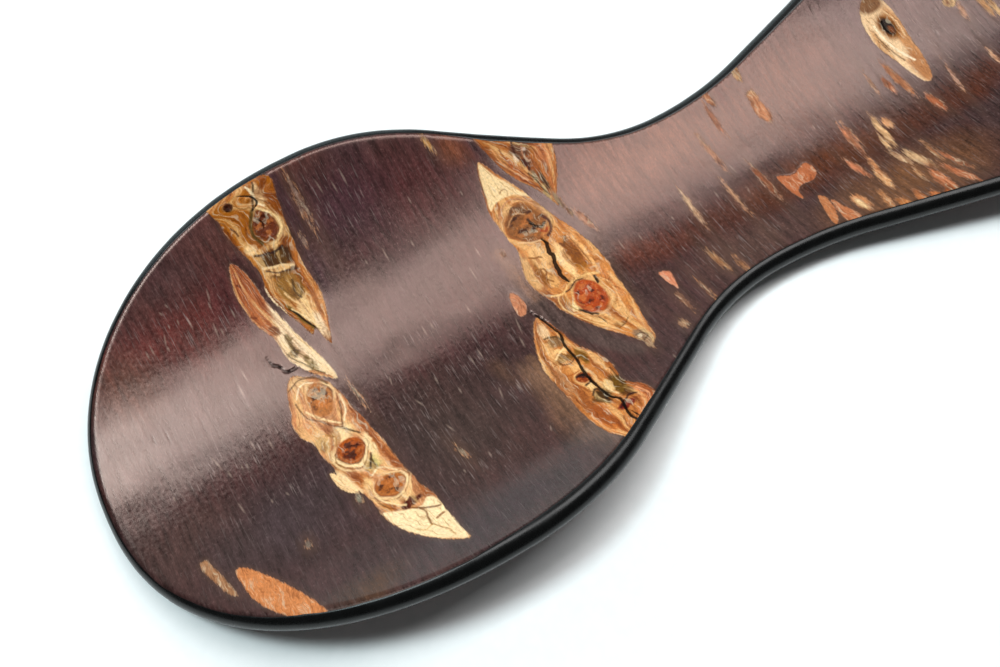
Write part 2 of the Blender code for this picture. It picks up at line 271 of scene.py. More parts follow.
# Knotty strips: outline, knots (centre, radii, colour, strength of the rings round it) and patches (centre,
# radii, colour, strength), all in millimetres (along, across) on the unrolled board
STRIPS = [
    {
        "outline": [
            (-32.4, 20.6), (-32.3, 18.6), (-32.1, 16.6), (-31.5, 14.6), (-31.2, 12.8), (-31.5, 10.8),
            (-30.9, 8.8), (-30.3, 7.4), (-29.8, 5.9), (-29.3, 6.3), (-28.8, 4.4), (-28.2, 6.0),
            (-27.6, 8.0), (-27.4, 9.8), (-27.6, 12.0), (-27.4, 14.2), (-27.2, 16.0), (-26.9, 18.2),
            (-27.0, 20.6),
        ],
        "base": ORANGE,
        "knots": [
            ((-29.0, 16.6), (1.15, 1.6), "6a3c12", 0.5),
            ((-31.0, 19.35), (0.40, 0.38), "4a3212", 0.3),
        ],
        "patches": [
            ((-31.5, 17.6), (0.8, 2.4), "a86a24", 0.8),
            ((-31.3, 14.9), (0.5, 1.1), "c98d4c", 0.7),
            ((-27.5, 19.2), (0.5, 1.2), "a8683a", 0.8),
            ((-28.3, 19.4), (0.45, 0.9), CREAM, 0.9),
            ((-29.9, 19.6), (0.7, 0.8), "c08040", 0.7),
            ((-27.6, 15.9), (0.35, 1.0), "f0cf96", 0.9),
            ((-30.9, 15.2), (0.5, 0.35), CREAM, 0.9),
            ((-29.6, 14.7), (1.0, 0.25), "e0b47c", 0.9),
            ((-29.3, 13.6), (1.5, 0.75), "5c4426", 1.0),
            ((-29.5, 12.55), (1.15, 0.30), "e6c08c", 1.0),
            ((-29.3, 12.1), (1.2, 0.22), "6a4c2a", 0.9),
            ((-29.6, 10.7), (1.0, 1.3), "94703c", 0.9),
            ((-29.0, 9.9), (0.45, 0.9), "7a5a2c", 0.7),
            ((-27.7, 11.5), (0.5, 2.4), "b8743e", 0.8),
            ((-28.2, 8.0), (0.8, 1.5), "d59a66", 0.8),
            ((-29.2, 8.0), (0.55, 1.4), "f2d4a2", 0.9),
            ((-28.75, 6.3), (0.35, 1.3), PALE, 0.95),
            ((-28.2, 6.4), (0.3, 0.9), "d8935a", 0.8),
        ],
    },
    {
        "outline": [
            (-33.1, 14.8), (-33.7, 13.3), (-33.9, 11.5), (-33.7, 9.6), (-33.3, 8.3), (-32.8, 7.2),
            (-32.7, 6.0), (-32.6, 4.9), (-32.1, 3.8), (-31.3, 2.6), (-30.5, 1.8), (-29.8, 1.2),
            (-29.8, 2.3), (-30.1, 3.8), (-30.6, 5.4), (-31.1, 7.1), (-31.5, 8.9), (-31.9, 10.3),
            (-32.1, 12.3), (-32.5, 14.1),
        ],
        "base": PALE,
        "knots": [],
        "patches": [
            ((-33.0, 12.2), (1.2, 3.0), "b56c45", 1.0),
            ((-33.1, 9.2), (0.9, 2.2), "b8724a", 1.0),
            ((-32.5, 7.7), (0.35, 0.4), "70401e", 0.8),
            ((-31.9, 6.1), (0.28, 0.8), "7a6a3c", 0.9),
            ((-31.9, 5.2), (0.45, 0.28), "4c3c1c", 0.9),
            ((-31.2, 4.0), (0.22, 0.5), "8a7a48", 0.8),
            ((-31.0, 3.2), (0.25, 0.5), "6c5c34", 0.7),
        ],
    },
    {
        "outline": [
            (-33.0, 3.3), (-33.8, 2.6), (-34.3, 1.2), (-34.5, 0.2), (-34.9, -0.7), (-34.7, -2.2),
            (-34.1, -3.2), (-33.95, -4.6), (-33.6, -6.1), (-33.7, -7.6), (-32.9, -9.0), (-32.4, -10.1),
            (-32.2, -11.3), (-32.1, -12.3), (-31.9, -13.3), (-31.2, -14.8), (-30.0, -16.5), (-28.6, -17.9),
            (-27.5, -18.6), (-27.6, -17.4), (-27.75, -15.8), (-27.85, -14.1), (-28.0, -12.8),
            (-28.4, -11.5), (-28.6, -10.3), (-28.8, -9.2), (-29.0, -7.6), (-29.1, -6.0), (-29.4, -4.6),
            (-29.6, -3.2), (-29.9, -1.8), (-30.1, -0.5), (-30.5, 1.0), (-31.3, 2.2), (-32.3, 2.8),
        ],
        "base": TAN,
        "knots": [
            ((-31.95, 0.3), (1.15, 1.65), "b0764a", 1.0),
            ((-31.65, -5.5), (1.25, 1.25), "a4561c", 1.0),
            ((-30.4, -10.1), (1.35, 1.05), "ac6a3c", 0.9),
        ],
        "patches": [
            ((-34.3, -1.6), (0.5, 1.6), "cf8f66", 0.9),
            ((-32.9, 2.4), (0.7, 0.5), "e4c49c", 0.8),
            ((-29.9, -2.4), (0.45, 2.0), "b87448", 0.8),
            ((-33.5, -3.7), (0.45, 0.7), "8a6a44", 0.8),
            ((-31.8, -3.6), (0.9, 0.9), "f6dcb0", 0.95),
            ((-33.2, -6.2), (0.4, 1.5), "e8c090", 0.9),
            ((-29.6, -5.4), (0.35, 1.8), "c07c4c", 0.8),
            ((-30.15, -5.8), (0.25, 1.3), "f4e0b8", 0.9),
            ((-30.8, -7.45), (0.6, 0.65), "5c4a22", 1.0),
            ((-30.3, -7.3), (0.25, 0.6), "d8cc90", 0.8),
            ((-32.4, -8.3), (0.8, 0.7), "b06a34", 0.8),
            ((-29.2, -7.8), (0.4, 1.4), "b06c40", 0.8),
            ((-31.9, -9.0), (0.35, 0.8), "f0cc98", 0.8),
            ((-30.4, -11.7), (0.9, 0.4), "f0cfa0", 0.9),
            ((-29.75, -12.6), (0.85, 0.36), "5c3414", 1.0),
            ((-28.4, -12.4), (0.35, 0.8), "c08050", 0.9),
            ((-31.4, -12.0), (0.5, 0.6), "b8743c", 0.8),
        ],
    },
    {
        "outline": [
            (-8.6, 15.6), (-6.8, 14.9), (-5.2, 14.1), (-4.0, 13.3), (-2.8, 12.5), (-2.2, 12.0),
            (-2.5, 10.6), (-3.1, 9.2), (-4.0, 7.7), (-4.5, 6.9), (-4.8, 6.1), (-5.2, 7.2), (-5.8, 8.6),
            (-6.8, 10.0), (-7.6, 11.6), (-8.2, 13.6),
        ],
        "base": "b0703f",
        "knots": [],
        "patches": [
            ((-7.3, 12.8), (0.45, 1.3), "c08a58", 0.9),
            ((-6.5, 10.8), (0.5, 1.6), "b46a40", 0.8),
            ((-5.3, 12.6), (0.9, 0.8), "7a5846", 1.0),
            ((-5.9, 12.1), (0.18, 0.4), "e8dcd8", 0.9),
            ((-5.0, 12.5), (0.15, 0.25), "d8c8c4", 0.9),
            ((-5.3, 11.3), (0.4, 0.3), "50281c", 0.9),
            ((-3.4, 11.4), (0.7, 1.3), "c48058", 0.9),
            ((-5.3, 9.7), (0.25, 0.7), "b0a890", 0.9),
            ((-4.6, 8.8), (0.4, 0.9), "5c4428", 1.0),
            ((-5.1, 7.6), (0.2, 0.9), "c4b080", 0.9),
            ((-4.2, 8.9), (0.2, 1.0), "c07848", 0.8),
        ],
    },
    {
        "outline": [
            (-9.3, 13.2), (-9.8, 12.5), (-10.2, 11.0), (-10.55, 9.6), (-10.8, 8.4), (-10.7, 7.0),
            (-10.6, 5.4), (-10.4, 4.0), (-10.8, 2.6), (-11.2, 1.0), (-11.0, -0.6), (-10.5, -1.8),
            (-10.3, -3.0), (-9.8, -4.2), (-9.2, -5.4), (-8.2, -7.1), (-7.2, -8.6), (-6.5, -9.9),
            (-6.0, -10.8), (-5.2, -10.3), (-5.0, -9.0), (-4.7, -7.4), (-4.4, -5.8), (-4.3, -4.0),
            (-4.25, -2.6), (-4.0, -1.2), (-4.2, 1.0), (-4.6, 2.6), (-5.0, 3.8), (-5.5, 4.9), (-5.9, 5.9),
            (-6.3, 7.0), (-6.7, 8.1), (-7.1, 9.2), (-7.7, 10.3), (-8.3, 11.4), (-8.8, 12.5),
        ],
        "base": "c8874f",
        "knots": [
            ((-8.45, 5.8), (1.75, 2.1), "8a5c3a", 0.2),
            ((-7.35, -3.4), (1.5, 2.0), "a84c02", 0.2),
        ],
        "patches": [
            ((-9.9, 12.0), (0.3, 1.3), "c88450", 0.9),
            ((-9.6, 7.3), (0.8, 1.2), "b07a50", 0.8),
            ((-6.3, 6.6), (0.5, 1.6), "9c7454", 0.8),
            ((-9.0, 2.2), (0.85, 1.6), "ecc08a", 0.95),
            ((-10.6, 1.0), (0.55, 2.8), "a87450", 0.9),
            ((-9.8, 0.8), (0.35, 1.5), "8a5a2e", 0.9),
            ((-9.2, -0.3), (0.45, 0.7), "e0b076", 0.8),
            ((-7.2, 1.2), (0.5, 1.9), "f6d09c", 1.0),
            ((-6.15, 1.1), (0.5, 1.9), "a8702e", 0.95),
            ((-5.25, 1.0), (0.28, 2.2), "f0bc80", 0.9),
            ((-4.6, 0.6), (0.3, 2.2), "c88a56", 0.8),
            ((-9.7, -3.0), (0.5, 1.3), "b88658", 0.8),
            ((-9.0, -3.6), (0.25, 0.5), "f4dfa4", 0.9),
            ((-4.9, -3.0), (0.35, 1.8), "d08c58", 0.9),
            ((-6.4, -6.6), (1.3, 0.8), "c08452", 0.9),
            ((-8.2, -6.4), (0.5, 0.9), "dcae78", 0.8),
            ((-6.9, -7.4), (0.5, 0.25), "8a5c34", 0.8),
            ((-5.9, -9.7), (0.7, 1.0), "8f7460", 1.0),
            ((-6.2, -9.4), (0.18, 0.2), "ece0cc", 0.8),
            ((-5.1, -8.0), (0.3, 1.6), "c48a60", 0.8),
        ],
    },
    {
        "outline": [
            (-12.8, -2.9), (-13.4, -3.8), (-14.0, -5.0), (-14.5, -6.4), (-14.75, -8.0), (-14.7, -10.0),
            (-14.6, -11.6), (-14.6, -13.2), (-14.4, -15.0), (-14.0, -16.6), (-13.3, -17.9), (-13.0, -19.2),
            (-11.4, -19.4), (-11.2, -18.2), (-10.6, -17.2), (-9.2, -16.2), (-8.75, -15.2), (-9.1, -13.8),
            (-10.0, -12.6), (-9.85, -10.6), (-10.2, -8.8), (-11.1, -7.0), (-11.5, -5.0), (-12.2, -3.0),
        ],
        "base": "c0804c",
        "knots": [
            ((-12.5, -10.4), (0.65, 0.6), "8a4410", 0.15),
        ],
        "patches": [
            ((-12.7, -4.3), (0.5, 0.8), "e6c8a4", 0.9),
            ((-12.5, -5.8), (0.7, 0.55), "8a6c50", 0.95),
            ((-13.4, -6.6), (0.3, 1.6), "e0b07c", 0.8),
            ((-12.6, -7.6), (0.75, 0.4), "76542e", 0.9),
            ((-12.5, -6.9), (0.6, 0.2), "f0c890", 0.9),
            ((-14.4, -9.0), (0.22, 2.6), "c8966c", 0.8),
            ((-13.9, -9.6), (0.2, 2.4), "e4bc90", 0.7),
            ((-11.4, -8.2), (0.4, 0.9), "80602e", 0.9),
            ((-10.6, -9.4), (0.3, 1.4), "dcae7c", 0.8),
            ((-12.5, -9.0), (0.7, 0.4), "d89a5e", 0.9),
            ((-12.5, -11.6), (0.4, 0.35), "e8c896", 0.9),
            ((-12.3, -12.9), (0.7, 0.8), "54401e", 1.0),
            ((-10.6, -12.6), (0.6, 1.2), "6c5226", 1.0),
            ((-11.3, -12.3), (0.28, 0.7), "e4c490", 0.95),
            ((-10.4, -13.9), (0.5, 0.4), "5a4018", 0.9),
            ((-11.2, -14.9), (0.85, 0.35), "7c3408", 1.0),
            ((-13.4, -15.4), (0.8, 2.0), "c47a46", 0.9),
            ((-9.5, -15.0), (0.6, 1.3), "cc845a", 0.9),
            ((-10.2, -16.4), (0.9, 0.5), "c88050", 0.8),
            ((-12.4, -17.4), (0.6, 0.9), "c07c4c", 0.8),
        ],
    },
]

# Pale corners inside the strips, with crisp sides: outline and colour
PALE_CORNERS = [
    ([(-9.35, 13.1), (-8.7, 11.7), (-8.0, 10.5), (-7.3, 9.2), (-6.5, 8.0), (-7.2, 8.5), (-8.0, 9.0),
      (-9.0, 9.15), (-9.9, 8.95), (-10.6, 8.6), (-10.3, 9.9), (-9.9, 11.6)], "f6dfb4"),
    ([(-32.1, -12.2), (-31.2, -12.6), (-30.2, -13.1), (-29.2, -13.4), (-28.5, -12.9), (-27.9, -13.6),
      (-27.7, -15.6), (-27.5, -18.5), (-28.8, -17.6), (-30.2, -16.2), (-31.4, -14.4)], "fbe6c2"),
]

# Fine coloured lines inside the strips: points, half width, colour
VEINS = [
    ([(-28.2, 20.4), (-28.5, 19.6), (-28.9, 18.9), (-29.2, 18.2)], 0.10, "4a3a14"),
    ([(-28.9, 20.3), (-28.6, 19.5), (-28.6, 18.7), (-28.2, 18.2)], 0.09, "fff0d0"),
    ([(-29.3, 18.2), (-29.9, 17.3), (-30.2, 16.2), (-29.8, 15.2)], 0.14, "564816"),
    ([(-28.8, 18.2), (-28.0, 17.4), (-27.6, 16.6), (-27.7, 15.8), (-28.4, 15.2)], 0.09, "f8dca8"),
    ([(-31.6, 17.6), (-31.4, 17.2), (-31.3, 16.8)], 0.08, "50340f"),
    ([(-30.9, 14.5), (-30.2, 14.3), (-29.2, 14.1), (-28.4, 14.3)], 0.12, "362812"),
    ([(-30.8, 13.2), (-30.0, 12.9), (-29.2, 12.8), (-28.4, 12.3)], 0.10, "f4d8ac"),
    ([(-30.7, 12.9), (-30.0, 12.4), (-29.0, 12.1), (-28.2, 11.9)], 0.07, "3c2c12"),
    ([(-30.4, 11.4), (-29.9, 10.2), (-29.3, 9.4), (-28.7, 10.2), (-28.3, 11.4)], 0.06, "6a5224"),
    ([(-30.2, 10.4), (-29.8, 9.4), (-29.2, 8.8), (-28.6, 9.6)], 0.06, "f0d0a0"),
    ([(-29.1, 11.2), (-29.3, 10.2), (-29.1, 9.4)], 0.10, "54401c"),
    ([(-30.6, 9.3), (-30.2, 8.6), (-30.0, 7.6), (-29.6, 6.8), (-29.3, 5.8)], 0.12, "6c5a26"),
    ([(-30.3, 8.8), (-29.8, 8.0), (-29.3, 7.0), (-29.0, 6.2)], 0.07, "fbe4b8"),
    ([(-31.5, 9.8), (-31.2, 8.2), (-30.6, 6.2), (-30.2, 4.2)], 0.05, "8c8258"),
    ([(-32.5, 5.4), (-32.2, 4.6), (-31.7, 3.9), (-31.2, 3.0), (-30.5, 2.2)], 0.06, "5c4c20"),
    ([(-31.7, 5.2), (-31.3, 4.4), (-30.9, 3.8), (-31.2, 3.0)], 0.06, "6a5a2c"),
    ([(-33.4, 12.9), (-33.2, 12.6)], 0.09, "6c381a"),
    ([(-33.6, 9.8), (-33.3, 9.5)], 0.10, "7a4020"),
    ([(-33.9, 2.2), (-33.2, 2.5), (-32.6, 2.7), (-31.9, 2.5), (-31.2, 2.0), (-30.8, 1.2)], 0.06, "5c4628"),
    ([(-33.6, 1.2), (-33.1, 2.0), (-32.4, 2.2), (-31.8, 1.9)], 0.06, "fff0d4"),
    ([(-33.9, 0.8), (-33.6, -0.6), (-32.8, -1.6), (-32.2, -2.4), (-31.5, -3.0)], 0.06, "5c3c1c"),
    ([(-33.4, -0.2), (-32.8, -1.2), (-32.0, -2.1), (-31.4, -2.6)], 0.08, "fbe2b8"),
    ([(-30.6, -0.8), (-30.9, -1.8), (-31.4, -3.0)], 0.07, "6a4620"),
    ([(-30.3, -0.2), (-30.5, -1.6), (-31.0, -2.6)], 0.07, "fff0d0"),
    ([(-30.6, 1.2), (-30.4, 0.0), (-30.2, -1.4)], 0.05, "e8c498"),
    ([(-32.9, -3.0), (-32.3, -3.6), (-32.6, -4.4)], 0.07, "a87c4c"),
    ([(-31.4, -3.2), (-30.8, -3.9), (-30.4, -4.3)], 0.09, "463a18"),
    ([(-33.2, -4.6), (-33.4, -5.6), (-33.1, -6.6), (-32.5, -7.1)], 0.06, "e8d0a8"),
    ([(-33.0, -5.0), (-33.2, -5.8), (-32.9, -6.5)], 0.05, "8a6236"),
    ([(-31.3, -8.5), (-30.6, -8.1), (-29.9, -8.6), (-29.4, -9.2)], 0.06, "f8e8c4"),
    ([(-31.1, -7.8), (-30.7, -7.0), (-30.5, -6.6)], 0.09, "30280e"),
    ([(-31.8, -9.8), (-31.6, -11.0), (-30.9, -12.0), (-30.2, -12.6)], 0.07, "fbe2b4"),
    ([(-32.0, -10.4), (-31.6, -11.8), (-31.0, -12.5)], 0.05, "7a4c22"),
    ([(-28.9, -10.4), (-29.2, -11.4), (-30.0, -12.2)], 0.07, "f4d4a2"),
    ([(-29.9, -13.1), (-29.5, -13.5), (-29.2, -14.1), (-29.3, -14.9), (-29.3, -15.5)], 0.09, "7a5222"),
    ([(-29.6, -13.4), (-28.9, -13.9), (-28.0, -14.3)], 0.08, "6a4418"),
    ([(-28.7, -15.2), (-28.1, -15.1)], 0.10, "8a5624"),
    ([(-29.3, -15.5), (-28.9, -16.1), (-28.5, -16.7), (-28.2, -17.6)], 0.05, "a87c44"),
    ([(-30.5, -15.2), (-29.9, -15.7), (-29.3, -15.5)], 0.04, "c09858"),
    ([(-31.6, -14.6), (-30.6, -16.0), (-29.4, -17.2), (-28.2, -18.2)], 0.06, "d89c68"),
    ([(-9.8, 12.6), (-10.1, 11.4), (-10.35, 10.0)], 0.06, "4a2a14"),
    ([(-9.0, 9.7), (-8.6, 9.9), (-8.3, 9.6), (-8.5, 9.2)], 0.05, "a8825a"),
    ([(-10.2, 7.6), (-9.4, 8.4), (-8.5, 8.7), (-7.6, 8.3), (-6.8, 7.4), (-6.3, 6.2)], 0.08, "c09070"),
    ([(-9.2, 7.4), (-8.7, 7.9), (-8.2, 7.5), (-7.8, 7.0)], 0.14, "6c4c38"),
    ([(-10.0, 6.4), (-9.3, 7.0), (-8.6, 7.2), (-8.0, 6.8)], 0.06, "c4956c"),
    ([(-9.9, 4.6), (-9.2, 4.2), (-8.4, 3.9), (-7.8, 3.8)], 0.06, "e8c8a0"),
    ([(-8.0, 6.2), (-7.8, 5.4), (-7.3, 5.0), (-6.8, 5.2)], 0.13, "2a120a"),
    ([(-6.7, 6.0), (-6.4, 5.2), (-6.6, 4.4), (-7.2, 3.9)], 0.13, "4a2c1c"),
    ([(-7.6, 4.7), (-7.2, 4.4), (-6.9, 4.6)], 0.12, "a04818"),
    ([(-9.9, 2.8), (-9.4, 2.5), (-9.1, 2.5), (-8.9, 2.3)], 0.09, "8a5a2c"),
    ([(-9.4, 1.2), (-9.3, 0.8), (-9.6, 0.2), (-9.3, -0.4)], 0.09, "7a4e24"),
    ([(-6.7, 2.6), (-6.5, 2.3), (-6.2, 2.7), (-5.9, 3.1)], 0.10, "6e481c"),
    ([(-6.8, 2.0), (-6.9, 0.8), (-6.6, -0.2)], 0.05, "8a5c2a"),
    ([(-5.6, 2.8), (-5.4, 1.0), (-5.4, -0.6)], 0.05, "7a4c22"),
    ([(-4.9, 2.8), (-4.8, 1.0), (-5.0, -0.8)], 0.05, "a8703e"),
    ([(-10.2, -1.6), (-9.2, -1.9), (-8.4, -1.4), (-7.4, -1.3), (-6.4, -1.3), (-5.4, -1.7)], 0.10, "f0c88c"),
    ([(-8.9, -1.9), (-8.3, -1.8), (-7.7, -1.4), (-7.0, -1.5)], 0.08, "40200c"),
    ([(-5.9, -1.8), (-5.95, -2.5)], 0.14, "241206"),
    ([(-8.9, -4.2), (-8.5, -4.6), (-8.2, -5.0), (-7.8, -5.4)], 0.11, "30180a"),
    ([(-8.9, -2.6), (-8.7, -3.4), (-8.3, -4.0)], 0.07, "c07848"),
    ([(-5.5, -2.2), (-5.1, -3.2), (-5.2, -4.6), (-5.6, -5.6)], 0.06, "f0c492"),
    ([(-9.8, -2.0), (-10.0, -3.2), (-9.3, -4.8), (-8.4, -6.2), (-7.4, -7.6)], 0.06, "ecc690"),
    ([(-9.3, -2.2), (-9.4, -3.2), (-9.0, -4.2)], 0.05, "8a6234"),
    ([(-7.2, -7.7), (-6.6, -7.6), (-5.9, -7.2)], 0.06, "6a4826"),
    ([(-6.5, -9.2), (-5.9, -9.3), (-5.6, -9.8), (-6.2, -10.0)], 0.06, "4c3a2a"),
    ([(-7.6, 13.8), (-7.4, 12.4), (-6.8, 11.0), (-6.0, 9.6)], 0.07, "d8a070"),
    ([(-7.0, 13.4), (-6.8, 12.0), (-6.2, 10.6), (-5.6, 9.4)], 0.06, "7a3c20"),
    ([(-5.6, 13.6), (-5.8, 12.6), (-5.6, 11.6), (-5.2, 11.0), (-5.4, 10.4)], 0.10, "4a3026"),
    ([(-4.8, 13.2), (-5.2, 12.0), (-5.0, 11.2)], 0.07, "b08068"),
    ([(-5.6, 10.2), (-5.3, 9.2), (-5.2, 8.4), (-4.9, 7.4)], 0.08, "40341e"),
    ([(-4.2, 12.4), (-3.9, 11.0), (-3.9, 9.6)], 0.05, "7a4426"),
    ([(-3.3, 12.2), (-3.1, 11.0), (-3.6, 9.4)], 0.05, "e0a47c"),
    ([(-13.6, -4.6), (-14.1, -6.2), (-14.3, -8.2), (-14.2, -10.6)], 0.05, "8a6040"),
    ([(-13.1, -5.0), (-12.3, -5.2), (-11.9, -5.8)], 0.08, "54422c"),
    ([(-13.4, -7.4), (-12.8, -7.0), (-12.0, -6.6)], 0.07, "fbdcac"),
    ([(-13.2, -8.2), (-12.6, -8.4), (-12.1, -8.2)], 0.06, "54381a"),
    ([(-13.6, -9.4), (-13.0, -9.6), (-12.4, -9.5)], 0.06, "a85c24"),
    ([(-13.0, -10.0), (-12.4, -10.1), (-12.1, -10.9), (-12.8, -11.2)], 0.10, "2c1408"),
    ([(-11.8, -8.4), (-11.4, -8.2), (-11.3, -9.0)], 0.08, "54401c"),
    ([(-10.2, -10.8), (-10.2, -12.0), (-10.4, -13.0)], 0.07, "4c3814"),
    ([(-11.6, -11.6), (-11.5, -12.8), (-11.1, -13.6)], 0.06, "f4dcae"),
    ([(-12.9, -12.4), (-12.4, -12.0), (-12.0, -12.6), (-12.2, -13.4)], 0.09, "30240e"),
    ([(-10.0, -14.4), (-10.6, -14.2), (-11.2, -14.6), (-11.8, -14.9)], 0.11, "401c08"),
    ([(-14.2, -14.0), (-14.0, -15.6), (-13.4, -17.2)], 0.05, "e0a878"),
    ([(-13.6, -13.6), (-13.4, -15.2), (-12.9, -17.0)], 0.05, "a45c30"),
    ([(-9.6, -13.8), (-9.2, -15.0), (-9.6, -16.0)], 0.05, "f0b48c"),
    ([(-10.0, -14.8), (-9.7, -15.6), (-10.4, -16.4)], 0.05, "a85c34"),
    ([(-12.2, -15.8), (-12.5, -17.0), (-12.0, -18.4)], 0.05, "7a4420"),
    ([(33.4, 6.8), (33.6, 5.0), (34.2, 2.8)], 0.08, "6a4c2c"),
    ([(33.9, 7.6), (33.9, 5.8), (34.5, 3.8), (35.2, 2.4)], 0.12, "fff4de"),
    ([(35.9, 8.6), (36.4, 7.0), (36.2, 5.2)], 0.06, "f6dcb4"),
]

# The knot of the handle's patch, painted in this order: centre, radii, colour, strength
HANDLE_KNOT = [
    ((36.1, 5.2), (0.8, 3.6), "bb8658", 0.9),
    ((34.9, 9.9), (1.4, 0.9), "7a563c", 0.95),
    ((35.3, 1.2), (1.0, 2.2), "b07c54", 0.95),
    ((33.2, 5.0), (0.35, 2.2), "c89a6c", 0.8),
    ((35.15, 6.9), (0.95, 1.5), "8a5a2c", 1.0),
    ((35.15, 6.9), (0.62, 1.05), "2e1808", 1.0),
    ((35.3, 6.5), (0.25, 0.45), "7a4820", 0.9),
]

# Lines round a knot: distance from its centre in knot radii, half width, colour, strength
KNOT_LINES = [
    (0.58, 0.05, "6a3414", 0.45),
    (0.80, 0.04, "d09a6c", 0.35),
    (0.97, 0.05, "4e3014", 0.75),
    (1.12, 0.09, "fce6bc", 0.90),
    (1.27, 0.04, "6a4c26", 0.60),
    (1.42, 0.06, "f4d6a8", 0.50),
]

# Where short pale streaks crowd together: centre, radii
STREAKY = [
    ((-23.2, 16.2), (3.2, 4.6)), ((-38.2, 11.5), (4.2, 2.3)), ((-40.0, -1.2), (4.6, 1.8)),
    ((-18.5, -3.2), (4.4, 1.7)), ((-18.0, -7.8), (2.6, 1.4)), ((-25.4, -4.6), (2.0, 5.5)),
    ((-21.0, 1.3), (3.4, 0.9)), ((24.0, -5.0), (7.0, 8.0)), ((41.0, 3.0), (8.0, 10.0)),
    ((-24.0, -12.5), (3.0, 2.0)), ((6.0, -5.0), (5.0, 5.0)), ((-38.5, -6.0), (3.6, 1.0)),
]

# Plain thin patches of the inner bark: outline and colour
PLAIN_PATCHES = [
    ([(-45.75, -7.9), (-45.3, -7.8), (-44.9, -8.9), (-44.5, -10.2), (-44.2, -11.6), (-44.1, -12.2),
      (-44.7, -11.5), (-45.2, -10.2), (-45.7, -8.8)], "a07a60"),
    ([(-43.6, -10.1), (-43.1, -10.0), (-42.3, -10.9), (-41.1, -12.7), (-40.2, -14.3), (-39.5, -15.8),
      (-38.9, -17.3), (-38.9, -18.0), (-40.2, -17.3), (-41.4, -16.1), (-42.5, -14.6), (-43.2, -13.0),
      (-43.5, -11.4)], "c8875c"),
    ([(-13.2, 0.6), (-13.6, -0.4), (-13.6, -1.8), (-13.0, -1.9), (-12.6, -1.0), (-12.7, 0.0)], "bf8468"),
    ([(-0.95, -4.7), (-0.1, -5.1), (-0.2, -6.0), (-0.5, -7.1), (-0.85, -5.9)], "cf8a70"),
    ([(-34.1, -6.4), (-33.6, -6.9), (-33.1, -8.2), (-32.8, -9.4), (-33.3, -9.0), (-33.9, -8.2),
      (-34.1, -7.3)], CREAM),
    ([(14.6, -1.8), (16.0, -2.4), (17.8, -1.9), (18.1, -3.2), (17.2, -3.9), (15.9, -3.8), (15.2, -4.2),
      (15.0, -5.2), (14.7, -4.6), (14.5, -3.0)], "b26f50"),
    ([(16.2, -5.8), (16.7, -6.4), (16.3, -8.0), (15.5, -9.3), (15.1, -9.2), (15.5, -7.6)], "b67c5a"),
    ([(16.9, -6.8), (17.3, -8.2), (17.6, -9.6), (17.3, -10.2), (16.3, -9.8), (16.4, -8.6)], "b4785a"),
    ([(33.0, 8.6), (34.0, 10.4), (35.4, 10.9), (36.5, 9.6), (36.8, 7.4), (36.5, 4.8), (36.2, 2.2),
      (35.4, 0.0), (34.4, -0.4), (33.8, 1.2), (33.4, 3.2), (32.9, 4.8), (32.7, 6.6)], "ecd0ae"),
]

